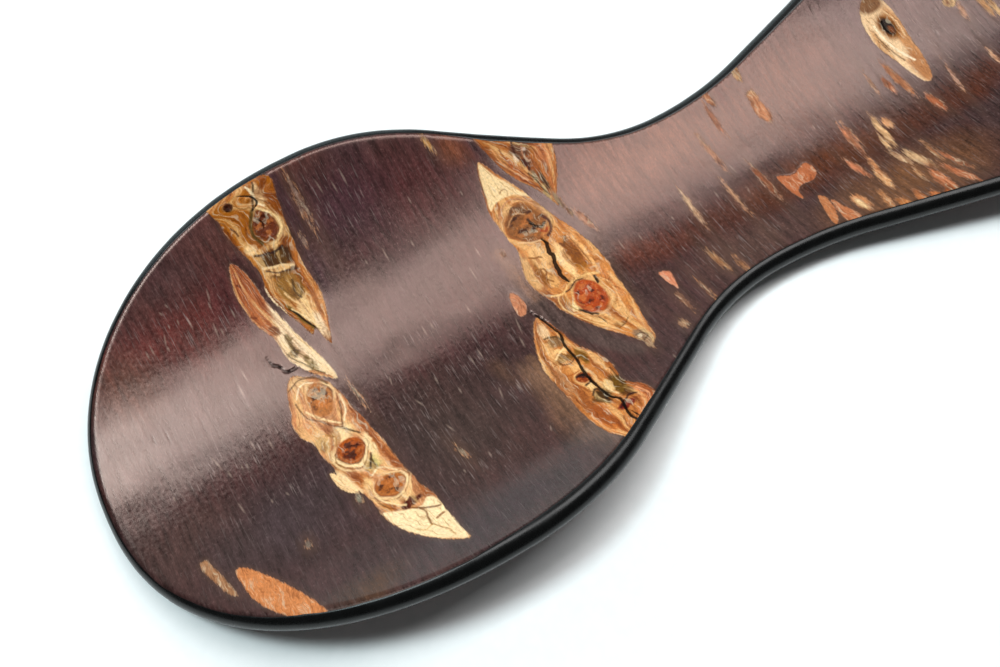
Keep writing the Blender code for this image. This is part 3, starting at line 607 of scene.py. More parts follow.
# Small flecks: centre, radii, tilt in degrees, colour
FLECKS = [
    ((17.9, 9.8), (0.33, 0.9), 0, "dcb48c"),
    ((18.0, 6.8), (0.5, 0.8), 0, "e0b896"),
    ((17.9, 5.2), (0.62, 1.5), 4, "c28a6c"),
    ((43.0, 6.3), (0.75, 0.7), 0, "e8cca4"),
    ((43.5, 4.7), (0.3, 0.9), -8, "c4a090"),
    ((46.1, 4.2), (0.35, 1.6), 0, "caa078"),
    ((46.9, 3.4), (0.3, 1.6), 0, "d8b890"),
    ((42.3, -1.5), (0.22, 1.0), -6, "d0a890"),
    ((18.8, -8.7), (0.6, 1.2), 0, "cc9670"),
    ((18.6, -8.8), (0.22, 0.6), 0, "e4c8a0"),
    ((21.4, -5.2), (0.33, 1.4), 10, "c48468"),
    ((22.5, -7.4), (0.42, 1.5), -10, "dcae84"),
    ((22.9, -5.8), (0.25, 1.0), -8, "d49c74"),
    ((23.3, -2.0), (0.28, 1.6), -3, "c8876a"),
    ((23.8, -1.4), (0.12, 1.0), -3, "c8876a"),
    ((26.5, -2.9), (0.35, 1.9), -8, "e2bf96"),
    ((25.7, -4.2), (0.22, 1.0), -10, "dcb890"),
    ((26.7, -7.6), (0.5, 1.6), 12, "cdb090"),
    ((25.5, -6.4), (0.28, 1.2), 12, "c4a488"),
    ((25.3, -9.0), (0.18, 0.8), -10, "b89070"),
    ((27.6, -2.4), (0.42, 0.75), 0, "d0a07c"),
    ((28.4, -7.6), (0.2, 1.2), -6, "a88468"),
    ((20.7, -9.8), (0.3, 1.2), -12, "c8946c"),
    ((21.6, -11.2), (0.4, 1.0), 6, "c08458"),
    ((23.2, -11.6), (0.4, 1.2), -6, "b87c58"),
    ((24.4, -12.4), (0.4, 1.0), 6, "b47450"),
    ((26.2, -11.2), (0.55, 1.9), -8, "c08062"),
    ((25.6, -12.8), (0.5, 0.8), 0, "ac6844"),
    ((28.1, -11.4), (0.4, 1.9), 12, "b8785c"),
    ((29.0, -9.4), (0.25, 1.6), 12, "a87058"),
    ((30.8, 1.2), (0.3, 1.0), 0, "b4745a"),
    ((32.1, 1.2), (0.4, 2.2), 4, "b07c5e"),
    ((33.3, -2.8), (0.42, 1.2), 6, "ae6c50"),
    ((29.4, 2.1), (0.12, 0.8), -6, "d8b8a4"),
    ((37.0, -1.5), (0.13, 1.2), -14, "ccaa9c"),
    ((13.3, -1.6), (0.3, 2.0), 0, "8e5c48"),
    ((13.2, 6.6), (0.25, 1.6), 0, "b08070"),
    ((13.9, 8.7), (0.3, 0.9), 12, "ba8468"),
    ((10.9, 3.6), (0.22, 1.8), 4, "b89080"),
    ((9.9, -1.4), (0.16, 1.6), 0, "c09c84"),
    ((5.8, -0.4), (0.22, 1.7), -3, "d0b49c"),
    ((4.2, -6.6), (0.28, 1.3), 6, "a88468"),
    ((5.6, -8.2), (0.22, 0.9), 0, "a07c64"),
    ((1.3, -8.8), (0.14, 0.9), 0, "a48878"),
    ((-2.5, -10.6), (0.3, 0.5), 0, "ab8e78"),
    ((-1.0, -8.5), (0.2, 0.9), 0, "98786a"),
    ((-4.2, 5.0), (0.2, 0.5), 12, "a89888"),
    ((-3.4, 3.6), (0.3, 1.2), 14, "c09484"),
    ((-4.5, 6.4), (0.18, 0.8), 6, "948470"),
    ((-12.7, 16.9), (0.2, 0.85), 12, "d2a468"),
    ((-11.7, 4.3), (0.2, 0.35), 0, "a48c84"),
    ((-29.05, -1.0), (0.1, 0.9), 6, "a8a494"),
    ((-33.05, -9.8), (0.2, 0.45), 0, "8c9088"),
    ((-38.0, -11.2), (0.2, 0.3), 0, "78706c"),
    ((-24.3, -10.8), (0.14, 0.5), 12, "a09488"),
    ((-6.1, -10.6), (0.25, 0.5), 0, "b8a088"),
    ((-25.2, 17.6), (0.16, 1.6), 3, "94807c"),
    ((-25.5, 16.0), (0.1, 1.0), 3, "8c7874"),
    ((-26.6, 13.9), (0.16, 0.45), 0, "9c8880"),
]

# Short pale pores across the bark: centre, length, tilt in degrees
PORES = [
    ((-42.0, 11.1), 1.3, 0), ((-42.5, 10.9), 0.9, 0), ((-40.7, 11.4), 1.2, -16), ((-40.8, 10.6), 0.7, 0),
    ((-39.9, 12.3), 0.5, -10), ((-39.1, 12.3), 0.6, -8), ((-38.3, 11.7), 1.2, 0), ((-36.2, 12.3), 0.8, 0),
    ((-35.9, 13.2), 1.4, -12), ((-36.7, 10.2), 1.6, -6), ((-36.3, 9.8), 0.9, 0), ((-34.8, 10.8), 1.0, 0),
    ((-40.0, 13.6), 0.5, 20), ((-39.3, 14.0), 0.5, 20), ((-41.5, -0.6), 1.8, 12), ((-41.0, -1.9), 0.8, 8),
    ((-39.5, -2.0), 0.8, 0), ((-39.9, -1.9), 0.6, 0), ((-45.6, -1.5), 0.5, 0), ((-38.4, -0.6), 1.2, 4),
    ((-37.1, -1.2), 1.4, 0), ((-41.3, -5.2), 1.4, 8), ((-39.0, -6.0), 0.5, 0), ((-37.7, -6.1), 0.5, 20),
    ((-21.4, 1.3), 1.3, 0), ((-20.6, 1.4), 1.0, 0), ((-17.1, 1.2), 1.0, 0), ((-18.4, -3.2), 1.3, 0),
    ((-19.3, -3.4), 1.1, 0), ((-14.8, -4.2), 1.4, -6), ((-14.2, -2.6), 2.0, -10), ((-18.9, -7.6), 1.5, -12),
    ((-17.3, -8.0), 1.2, 6), ((-20.9, 9.4), 1.6, 0), ((-18.3, 9.2), 0.8, 0), ((-22.7, 9.6), 0.6, 0),
    ((-15.0, 4.0), 1.8, 0), ((-13.6, 5.6), 1.4, 0), ((-22.8, -3.4), 0.9, 0), ((-21.6, -5.4), 0.8, 0),
    ((-17.4, -13.2), 0.7, -20), ((-5.3, -13.2), 0.8, 0), ((-26.1, -1.4), 1.0, -10), ((-25.0, -4.6), 1.2, 20),
    ((-24.0, -8.2), 1.2, 16), ((-22.6, -12.4), 0.7, 0), ((-25.0, -12.6), 0.5, 0), ((-2.0, -0.4), 1.2, 0),
    ((-0.1, -0.6), 0.9, 0), ((-20.9, 17.4), 1.8, 0), ((-22.0, 17.0), 1.4, 3), ((-23.2, 17.6), 1.6, 4),
    ((-16.6, 12.9), 0.8, 0), ((-12.1, 11.3), 0.5, 0), ((-37.2, 4.2), 1.6, 0), ((-36.4, 5.4), 1.6, 4),
    ((24.2, 2.2), 1.4, -8), ((21.2, 1.0), 0.7, -10), ((11.6, 1.2), 1.4, 6), ((11.4, -1.6), 0.9, -16),
    ((38.4, 0.6), 0.9, 20), ((8.6, -0.4), 1.0, 0), ((3.6, -0.4), 0.6, 0), ((28.8, -9.6), 1.4, -10),
]

# Dark open cracks: points, half width at the middle, depth
CRACKS = [
    ([(-34.15, 5.9), (-34.05, 5.1), (-33.6, 4.7), (-33.25, 3.95), (-32.7, 3.8), (-32.3, 3.85), (-32.0, 3.3),
      (-31.4, 2.6)], 0.075, 0.10),
    ([(-7.9, 3.9), (-7.75, 3.3), (-8.0, 2.4), (-7.85, 1.9), (-8.15, 1.2), (-8.2, 0.4), (-8.35, -0.1),
      (-8.1, -1.1)], 0.19, 0.18),
    ([(-12.7, -1.8), (-12.3, -2.8), (-11.95, -4.0), (-11.7, -5.2)], 0.09, 0.18),
    ([(-11.75, -4.6), (-11.65, -5.3), (-11.95, -6.6), (-11.9, -8.2), (-12.1, -9.6), (-12.15, -10.8),
      (-12.0, -12.2), (-11.8, -13.4), (-11.3, -14.1), (-11.5, -15.0), (-11.7, -16.2), (-11.5, -17.2),
      (-11.6, -18.6)], 0.12, 0.22),
    ([(-11.4, -15.6), (-11.2, -17.0), (-11.5, -18.4)], 0.07, 0.15),
    ([(-13.0, -9.9), (-12.4, -10.0), (-12.0, -10.7)], 0.10, 0.12),
    ([(-7.95, -5.6), (-7.75, -6.1), (-7.65, -6.7)], 0.06, 0.12),
    ([(-30.6, 9.0), (-30.1, 8.2), (-29.8, 7.4), (-29.4, 6.6), (-29.2, 6.1)], 0.09, 0.1),
    ([(-29.9, 19.9), (-28.9, 19.4), (-28.6, 18.7), (-29.3, 18.2)], 0.09, 0.1),
    ([(-32.2, -5.0), (-31.6, -5.0), (-31.0, -5.25)], 0.05, 0.1),
    ([(-29.4, 17.5), (-29.0, 16.9), (-29.2, 16.2)], 0.07, 0.12),
    ([(35.0, 7.7), (34.8, 7.0), (35.0, 6.2)], 0.16, 0.2),
    ([(33.1, 6.4), (33.4, 5.2), (33.6, 3.8)], 0.05, 0.06),
    ([(-5.95, -2.1), (-6.0, -2.7)], 0.12, 0.15),
    ([(-8.9, -4.0), (-8.6, -4.6), (-8.2, -5.2)], 0.08, 0.12),
    ([(-8.3, 6.1), (-7.7, 5.4), (-7.0, 4.9)], 0.06, 0.08),
]

# Broad colour of the outer bark: centre, radii, colour, strength. Partly painted light: the red-brown zones
# along the lower edge of the highlight are painted shade, and the grey zones on the near side are a painted
# sheen.
BARK_ZONES_AND_PAINTED_LIGHT = [
    ((-40.0, 11.5), (7.0, 3.2), "5c3533", 0.9),
    ((-45.5, 9.0), (3.0, 3.5), "62443c", 0.8),
    ((-34.0, 11.0), (3.0, 4.0), "523334", 0.8),
    ((-38.0, -2.0), (12.0, 1.8), "553a3a", 0.8),
    ((-46.0, -5.0), (4.0, 3.0), "5a4542", 0.7),
    ((-38.0, -8.0), (7.0, 4.0), "4b4245", 0.7),
    ((-24.0, -9.0), (6.0, 5.0), "4b413e", 0.7),
    ((-14.0, 13.5), (9.0, 4.5), "4e3434", 0.8),
    ((-10.8, 15.0), (1.4, 2.0), "6e4536", 0.8),
    ((-22.0, 15.0), (4.0, 5.0), "46363a", 0.8),
    ((-18.0, -1.0), (7.0, 1.4), "4f3436", 0.8),
    ((-15.6, -11.0), (1.7, 4.5), "7c5b48", 0.9),
    ((-16.0, -7.5), (0.9, 2.0), "8c6955", 0.8),
    ((-17.6, -5.5), (0.7, 1.5), "6a4f42", 0.7),
    ((-14.6, -16.0), (1.6, 2.4), "7a6052", 0.7),
    ((-35.0, -17.5), (3.0, 1.6), "553e30", 0.8),
    ((-24.0, -18.0), (8.0, 1.8), "3e3438", 0.8),
    ((0.0, -2.5), (5.0, 1.8), "603a32", 0.9),
    ((-1.8, -1.6), (1.6, 1.4), "6e453c", 0.7),
    ((20.0, -3.0), (14.0, 2.2), "603a2c", 0.9),
    ((28.0, -1.2), (1.6, 1.2), "44302c", 0.6),
    ((24.0, -9.5), (9.0, 3.6), "80583f", 0.9),
    ((8.0, -7.0), (6.0, 2.2), "5f4943", 0.8),
    ((38.0, -3.0), (6.0, 2.0), "5b372c", 0.8),
    ((20.0, 6.0), (10.0, 5.0), "6c4a3e", 0.7),
    ((8.0, 6.5), (6.0, 4.0), "7c5546", 0.7),
    ((0.0, 7.0), (5.0, 4.5), "7e5648", 0.7),
    ((40.0, 6.0), (7.0, 5.0), "50403f", 0.6),
    ((12.0, 9.0), (1.2, 1.2), "523830", 0.5),
    ((15.2, 8.2), (0.5, 2.0), "452a26", 0.8),
    ((-11.3, 1.0), (0.8, 3.4), "70503c", 0.8),
    ((-29.2, 9.6), (2.4, 8.0), "42302e", 0.6),
]

# Smooth dark folds beside the strips: points, half width, colour
FOLDS = [
    ([(-8.8, 15.8), (-8.3, 13.4), (-7.3, 11.0), (-6.1, 8.6), (-5.1, 6.2), (-4.2, 4.0), (-3.2, 2.4)],
     0.55, "382c30"),
    ([(-12.4, 0.8), (-11.7, -1.4), (-11.0, -3.8), (-9.9, -6.2), (-8.6, -8.4), (-7.4, -10.4)], 0.85, "5c4c48"),
    ([(-32.6, 15.0), (-31.9, 12.4), (-31.3, 9.4), (-30.6, 6.8), (-29.8, 4.6), (-29.2, 2.6)], 0.32, "382a2e"),
    ([(-29.9, 1.4), (-29.5, -0.6), (-29.1, -2.4)], 0.25, "4a3838"),
    ([(-12.0, 4.6), (-11.9, 1.6), (-11.5, -1.0)], 0.5, "7a5846"),
    ([(-15.0, -6.0), (-15.1, -10.0), (-14.9, -14.0)], 0.4, "8a6650"),
    ([(-4.0, 3.6), (-3.6, 0.0), (-3.9, -4.0), (-4.3, -8.0)], 0.4, "5a4640"),
    ([(-26.4, 20.0), (-26.5, 16.0), (-26.7, 12.0), (-27.2, 8.0)], 0.45, "46363a"),
]

STRIP_CURVES = [curve_through(strip["outline"], closed=True) for strip in STRIPS]
PATCH_CURVES = [curve_through(outline, closed=True) for outline, _ in PLAIN_PATCHES]
CRACK_CURVES = [curve_through(points, closed=False) for points, _, _ in CRACKS]
CORNER_CURVES = [curve_through(outline, closed=True, steps=3) for outline, _ in PALE_CORNERS]
VEIN_CURVES = [curve_through(points, closed=False) for points, _, _ in VEINS]
FOLD_CURVES = [curve_through(points, closed=False, steps=3) for points, _, _ in FOLDS]


def inner_layer_distance(points):
    """Distance to the rim of the nearest place where the inner bark shows, positive inside."""
    best = np.full(len(points), -9.0)
    for curve in STRIP_CURVES + PATCH_CURVES:
        best = np.maximum(best, inside_distance(points, curve))
    for centre, radii, tilt, _ in FLECKS:
        best = np.maximum(best, (1 - oval(points, centre, radii, tilt)) * min(radii) * 0.5)
    return best


def pore_distance(points):
    """Distance to the rim of the nearest pale pore, positive inside."""
    best = np.full(len(points), -9.0)
    for centre, length, tilt in PORES:
        best = np.maximum(best, (1 - oval(points, centre, (0.09, length / 2), tilt)) * 0.09)
    return best


def crack_distance(points):
    """Distance to the rim of the nearest crack, positive inside, and how deep the cracks are there."""
    best = np.full(len(points), -9.0)
    depth = np.zeros(len(points))
    for (shape, half_width, full_depth), curve in zip(CRACKS, CRACK_CURVES):
        low, high = curve.min(0) - 1, curve.max(0) + 1
        near = np.all((points > low) & (points < high), axis=1)
        away = distance_to_path(points[near], curve)
        ends = np.minimum(
            np.hypot(*(points[near] - curve[0]).T), np.hypot(*(points[near] - curve[-1]).T)
        )
        width = half_width * np.clip(0.35 + ends / 1.2, 0, 1)
        width = width * (1 + 0.45 * cloud(points[near], (0.35, 0.35), 71))
        best[near] = np.maximum(best[near], width - away)
        depth[near] = np.maximum(depth[near], full_depth * np.clip((width - away) / width + 0.15, 0, 1))
    return best, depth


def strip_sides(curve):
    """The two sides of a strip, as places across the board at which each lies, both sorted."""
    curve = np.roll(curve, -curve[:, 1].argmin(), 0)
    top = curve[:, 1].argmax()
    sides = [curve[:top + 1], np.concatenate([curve[top:], curve[:1]])]
    return [side[side[:, 1].argsort()] for side in sides]


def knot_radius(points, centre, radii):
    """Uneven distance from a knot's centre, about 1 on its rim, drawn out a little along the strip."""
    u, v = np.abs((points - np.array(centre)) / np.array(radii)).T
    r = (u**1.7 + v**1.7) ** (1 / 1.7)
    return r * (1 + 0.24 * cloud(points, (1.7, 1.7), 5, 1) + 0.07 * cloud(points, (0.6, 0.6), 9, 2))


def grain_fields(points):
    """Grain line across the strips, bent round the knots; distance from the nearest knot, 1 at its rim."""
    flow = points[:, 0].copy()
    ring = np.full(len(points), 9.0)
    for number, (strip, curve) in enumerate(zip(STRIPS, STRIP_CURVES)):
        inside = inside_distance(points, curve) > -0.6
        here = points[inside]
        one, other = (np.interp(here[:, 1], side[:, 1], side[:, 0]) for side in strip_sides(curve))
        across = (here[:, 0] - (one + other) / 2) / np.maximum(np.abs(one - other) / 2, 0.25)
        nearest = np.full(len(here), 9.0)
        for centre, radii, _, _ in strip["knots"]:
            r = knot_radius(here, centre, radii)
            pull = np.exp(-(((here[:, 1] - centre[1]) / (1.6 * radii[1])) ** 2))
            sides = strip_sides(curve)
            side_one, side_other = (np.interp(centre[1], side[:, 1], side[:, 0]) for side in sides)
            offset = (centre[0] - (side_one + side_other) / 2) / max(abs(side_one - side_other) / 2, 0.25)
            across = across - offset * pull
            across = across * np.sqrt(np.clip(1 - 0.96 / np.maximum(r, 1.0) ** 2, 0.0, 1))
            nearest = np.minimum(nearest, r)
        flow[inside] = across * 2.2 + 10 * number
        ring[inside] = nearest
    hole = knot_radius(points, (35.15, 6.8), (0.85, 1.3))
    ring = np.minimum(ring, np.where(hole < 4, hole, 9.0))
    return flow, ring


def blend_in(colours, weight, colour):
    """The colours with a share of one more, given as a screen code."""
    return colours * (1 - weight[:, None]) + np.array(linear(colour)) * weight[:, None]


def soft(r):
    """1 in the middle of a patch, falling to 0 a little past its rim."""
    return np.clip((1.3 - r) * 2.2, 0, 1)


def strip_colours(points, strip, flow):
    """Colour of one knotty strip: grain along it, patches, then knots with the lines round them."""
    warp = np.stack([cloud(points, (0.5, 0.9), 11, 4), 1.4 * cloud(points, (0.5, 0.9), 23, 4)], 1)
    ragged = np.stack([cloud(points, (0.22, 0.3), 15, 2), cloud(points, (0.22, 0.3), 37, 2)], 1)
    warped = points + 0.26 * warp + 0.13 * ragged
    local = np.tile(np.array(linear(strip["base"])), (len(points), 1))
    for centre, radii, colour, strength in strip["patches"]:
        local = blend_in(local, strength * soft(oval(warped, centre, radii)), colour)
    grain = cloud(np.column_stack([flow, points[:, 1]]), (0.42, 4.0), 33, 4)
    local = blend_in(local, 0.45 * np.clip((grain - 0.10) * 5, 0, 1), "f6d49c")
    local *= 1 - 0.58 * np.clip((-0.10 - grain) * 5, 0, 1)[:, None] * np.array((0.7, 0.9, 1.0))
    for centre, radii, colour, halo in strip["knots"]:
        r = knot_radius(points, centre, radii)
        local = blend_in(local, np.clip((1.0 - r) * 8, 0, 1), colour)
        core = np.clip((0.86 - r) * 5, 0, 1)
        blots = cloud(points, (0.55, 0.45), 57, 4)
        local = blend_in(local, core * np.clip((blots - 0.14) * 7, 0, 1) * 0.85, "3c1a08")
        local = blend_in(local, core * np.clip((-0.16 - blots) * 7, 0, 1) * 0.45, "d88a52")
        faded = np.clip(0.75 + 1.6 * cloud(points, (1.6, 1.6), 83, 1), 0, 1)
        for at, half_width, line_colour, line_strength in KNOT_LINES:
            line = np.clip(1.5 - np.abs(r - at) / half_width, 0, 1) * line_strength * halo
            local = blend_in(local, line * faded, line_colour)
    return local


def inner_colours(points, flow):
    """Colour of the inner bark."""
    colours = np.tile(np.array(linear(TAN)), (len(points), 1))
    for strip, curve in zip(STRIPS, STRIP_CURVES):
        inside = inside_distance(points, curve) > -0.6
        colours[inside] = strip_colours(points[inside], strip, flow[inside])
    warped = points + 0.07 * np.stack([cloud(points, (0.5, 0.5), 13, 3), cloud(points, (0.5, 0.5), 27, 3)], 1)
    for curve, (_, colour) in zip(CORNER_CURVES, PALE_CORNERS):
        colours = blend_in(colours, np.clip(inside_distance(warped, curve) * 8 + 0.5, 0, 1), colour)
    for curve, (_, colour) in zip(PATCH_CURVES, PLAIN_PATCHES):
        colours = blend_in(colours, np.clip(inside_distance(points, curve) * 4 + 1.6, 0, 1), colour)
    for centre, radii, tilt, colour in FLECKS:
        fleck = np.clip(2.4 - 1.4 * oval(points, centre, radii, tilt), 0, 1)
        mottled = np.clip(0.8 + 0.9 * cloud(points, (0.3, 1.2), 39, 2), 0, 1)
        colours = blend_in(blend_in(colours, fleck, "7c5644"), fleck * mottled, colour)
    for centre, radii, colour, strength in HANDLE_KNOT:
        colours = blend_in(colours, strength * soft(oval(warped, centre, radii)), colour)
    for (_, half_width, colour), curve in zip(VEINS, VEIN_CURVES):
        near = np.all((points > curve.min(0) - 0.6) & (points < curve.max(0) + 0.6), axis=1)
        away = distance_to_path(warped[near], curve)
        line = np.clip((half_width - away) / 0.08 + 0.5, 0, 1)
        colours[near] = blend_in(colours[near], 0.9 * line, colour)
    return np.minimum(colours * INNER_GLOW, BRIGHTEST)


def bark_colours(points):
    """Broad colour of the outer bark, partly painted light: some zones are painted shade and painted sheen,
    and the far side is painted brighter than the near side.
    """
    warped = points + np.stack([cloud(points, (3, 6), 41), 1.2 * cloud(points, (3, 6), 47)], 1)
    colours = np.tile(np.array(linear(BARK)), (len(points), 1))
    red = np.clip(0.5 + 0.9 * cloud(points, (7, 5), 3), 0, 1)
    colours = blend_in(colours, 0.45 * red, BARK_RED)
    dark = np.clip(0.5 + 0.9 * cloud(points, (5, 9), 17), 0, 1)
    colours = blend_in(colours, 0.4 * dark, BARK_PURPLE)
    # some zones are painted light: painted shade at the highlight's lower edge and a painted sheen on the
    # near side
    for centre, radii, colour, strength in BARK_ZONES_AND_PAINTED_LIGHT:
        colours = blend_in(colours, strength * np.clip(1.35 - oval(warped, centre, radii), 0, 1), colour)
    for (_, half_width, colour), curve in zip(FOLDS, FOLD_CURVES):
        ripple = 0.25 * half_width * cloud(points, (0.8, 2.4), 63, 2)
        away = distance_to_path(points, curve) + ripple
        near = np.clip((half_width * 1.25 - away) / (0.6 * half_width), 0, 1)
        colours = blend_in(colours, 0.85 * near, colour)
    # painted light across the board, times the lighter bark towards the handle
    gain = np.interp(points[:, 1], *FAR_SIDE_PAINTED_LIGHT) * np.interp(points[:, 0], *HANDLE_GAIN)
    return colours * gain[:, None]


def streakiness(points):
    """1 where short pale streaks crowd together."""
    best = np.zeros(len(points))
    for centre, radii in STREAKY:
        best = np.maximum(best, np.clip(1.5 - oval(points, centre, radii), 0, 1))
    return best


def face_relief(points, edge):
    """Height of the polished face above its smooth cylinder; edge is the distance from the sheet's rim."""
    inner = inner_layer_distance(points)
    flow, ring = grain_fields(points)
    _, depth = crack_distance(points)
    height = 0.045 * cloud(points, (9, 4), 7, 2) + 0.012 * cloud(points, (3.5, 2.2), 87, 2)
    height += 0.009 * cloud(points, (0.7, 5.0), 19, 3)
    in_strip = np.clip(inner / 0.25 + 0.5, 0, 1)
    height -= 0.02 * in_strip
    ridges = cloud(np.stack([flow, points[:, 1] * 0.2], 1), (0.45, 0.6), 29, 3)
    height += 0.030 * in_strip * ridges
    dome = np.clip(1.25 - ring, 0, 1)
    height += 0.09 * dome * (1 - dome) - 0.05 * np.clip(0.75 - ring, 0, 1)
    rings = np.cos(ring * 2 * math.pi / 0.34) * np.clip(1.7 - ring, 0, 1)
    height += 0.014 * rings * in_strip
    height -= depth
    return height * np.clip(edge / 0.8 - 0.1, 0, 1)


# ---------------------------------------------------------------- meshes

COARSE_SPACING = 0.5
FINE_SPACING = 0.135
STRIP_SPACING = 0.10
HIDDEN_SPACING = 2.5
RIM_STEPS = (0.1, 0.22, 0.36, 0.52, 0.7)  # rows of points that follow the rim, from its edge inwards
DULL_RIM = 0.3  # the polish stops this far from the rim
FILM = 0.02  # the lacquer's thickness where it laps over the bark
LAP = 0.14  # how far it laps over
EDGE_TURNS = 22
NICK_PLACE = (-11.6, -19.6)  # where a crack meets the lacquer
CHIPS = (((-11.55, -18.9), (0.22, 0.62), 12), ((-12.1, -18.75), (0.13, 0.30), -10))  # centre, radii, tilt


def rounded_rise(depth):
    """Height of the round edge above the board's middle, at a depth in from the outline."""
    inside = np.clip(1 - np.asarray(depth) / EDGE_RADIUS, 0, 1)
    return EDGE_RADIUS * np.sqrt(1 - inside**2)


def face_inset(outline):
    """How far in from the outline the face bark ends, at each outline point."""
    x, across = outline.T
    near_side = np.clip((x + 31) / 10, 0, 1) * np.clip(-across / 5, 0, 1)
    far_side = np.clip((x + 11) / 4, 0, 1) * np.clip(across / 5, 0, 1)
    broad = np.maximum(near_side, 0.8 * far_side)
    return FACE_INSET + NEAR_INSET * broad


def ring_points(outline, depth):
    """The outline moved in by a depth, one for all its points or one each."""
    return outline - outward_normals(outline) * np.reshape(depth, (-1, 1))


def depth_inside(points, outline):
    """Distance from each point to the outline."""
    nearest = nearest_index(points, outline)
    best = np.full(len(points), 1e9)
    for step in (-1, 0):
        start = outline[(nearest + step) % len(outline)]
        along = outline[(nearest + step + 1) % len(outline)] - start
        share = ((points - start) * along).sum(1) / (along * along).sum(1)
        gap = points - start - np.clip(share, 0, 1)[:, None] * along
        best = np.minimum(best, np.hypot(*gap.T))
    return best


def grid_inside(boundary, spacing, margin):
    """Hexagonal grid points inside a boundary, clear of it by margin."""
    low, high = boundary.min(0), boundary.max(0)
    row_step = spacing * math.sqrt(3) / 2
    rows = np.arange(low[1], high[1], row_step)
    found = []
    for i, y in enumerate(rows):
        x = np.arange(low[0] + (i % 2) * spacing / 2, high[0], spacing)
        found.append(np.stack([x, np.full(len(x), y)], 1))
    found = np.concatenate(found)
    reach = half_width_at(boundary, found[:, 0])
    found = found[np.abs(found[:, 1]) < reach]
    tree_gap = nearest_gap(found, boundary)
    return found[tree_gap > margin]


def half_width_at(boundary, x):
    """Half width of the symmetric boundary at each place along it."""
    upper = boundary[boundary[:, 1] >= 0]
    upper = upper[upper[:, 0].argsort()]
    return np.interp(x, upper[:, 0], upper[:, 1])


def nearest_index(points, others):
    """For each point, which of the others is nearest."""
    tree = KDTree(len(others))
    for i, (x, y) in enumerate(others):
        tree.insert((x, y, 0), i)
    tree.balance()
    return np.array([tree.find((x, y, 0))[1] for x, y in points])


def nearest_gap(points, others):
    """Distance from each point to the nearest of the others."""
    return np.hypot(*(points - others[nearest_index(points, others)]).T)


def triangulate(boundary, inner):
    """Triangles over the boundary polygon through all the inner points."""
    points = np.concatenate([boundary, inner])
    count = len(boundary)
    edges = [(i, (i + 1) % count) for i in range(count)]
    verts, _, faces, _, _, _ = delaunay_2d_cdt([Vector(p) for p in points], edges, [], 1, 1e-6)
    return np.array([tuple(v) for v in verts]), faces


def new_object(name, verts, faces, material):
    """A smooth shaded mesh object in the scene."""
    mesh = bpy.data.meshes.new(name)
    mesh.from_pydata([tuple(v) for v in verts], [], faces)
    mesh.update()
    mesh.shade_smooth()
    mesh.materials.append(material)
    piece = bpy.data.objects.new(name, mesh)
    bpy.context.scene.collection.objects.link(piece)
    return piece


def add_numbers(mesh, name, values):
    attribute = mesh.attributes.new(name, "FLOAT", "POINT")
    attribute.data.foreach_set("value", np.asarray(values, np.float32))


def add_vectors(mesh, name, values):
    attribute = mesh.attributes.new(name, "FLOAT_VECTOR", "POINT")
    attribute.data.foreach_set("vector", np.asarray(values, np.float32).ravel())


def sheet_mesh(name, rim, shown, hidden, shown_rise, hidden_rise, material, shown_up):
    """A closed curved sheet: a fine shown side through the points shown, a plain hidden side and a rim."""
    fine, fine_faces = triangulate(rim, shown)
    coarse, coarse_faces = triangulate(rim, hidden)
    count = len(rim)
    fine_rise = shown_rise(fine)
    verts = np.concatenate([roll_up(fine, fine_rise), roll_up(coarse, np.full(len(coarse), hidden_rise))])
    shift = len(fine)
    faces = [tuple(f) if shown_up else tuple(reversed(f)) for f in fine_faces]
    for f in coarse_faces:
        moved = tuple(i + shift for i in f)
        faces.append(tuple(reversed(moved)) if shown_up else moved)
    for i in range(count):
        k = (i + 1) % count
        quad = (i, i + shift, k + shift, k)
        faces.append(quad if shown_up else tuple(reversed(quad)))
    piece = new_object(name, verts, faces, material)
    piece.data.set_sharp_from_angle(angle=math.radians(50))
    return piece, np.concatenate([fine, coarse])


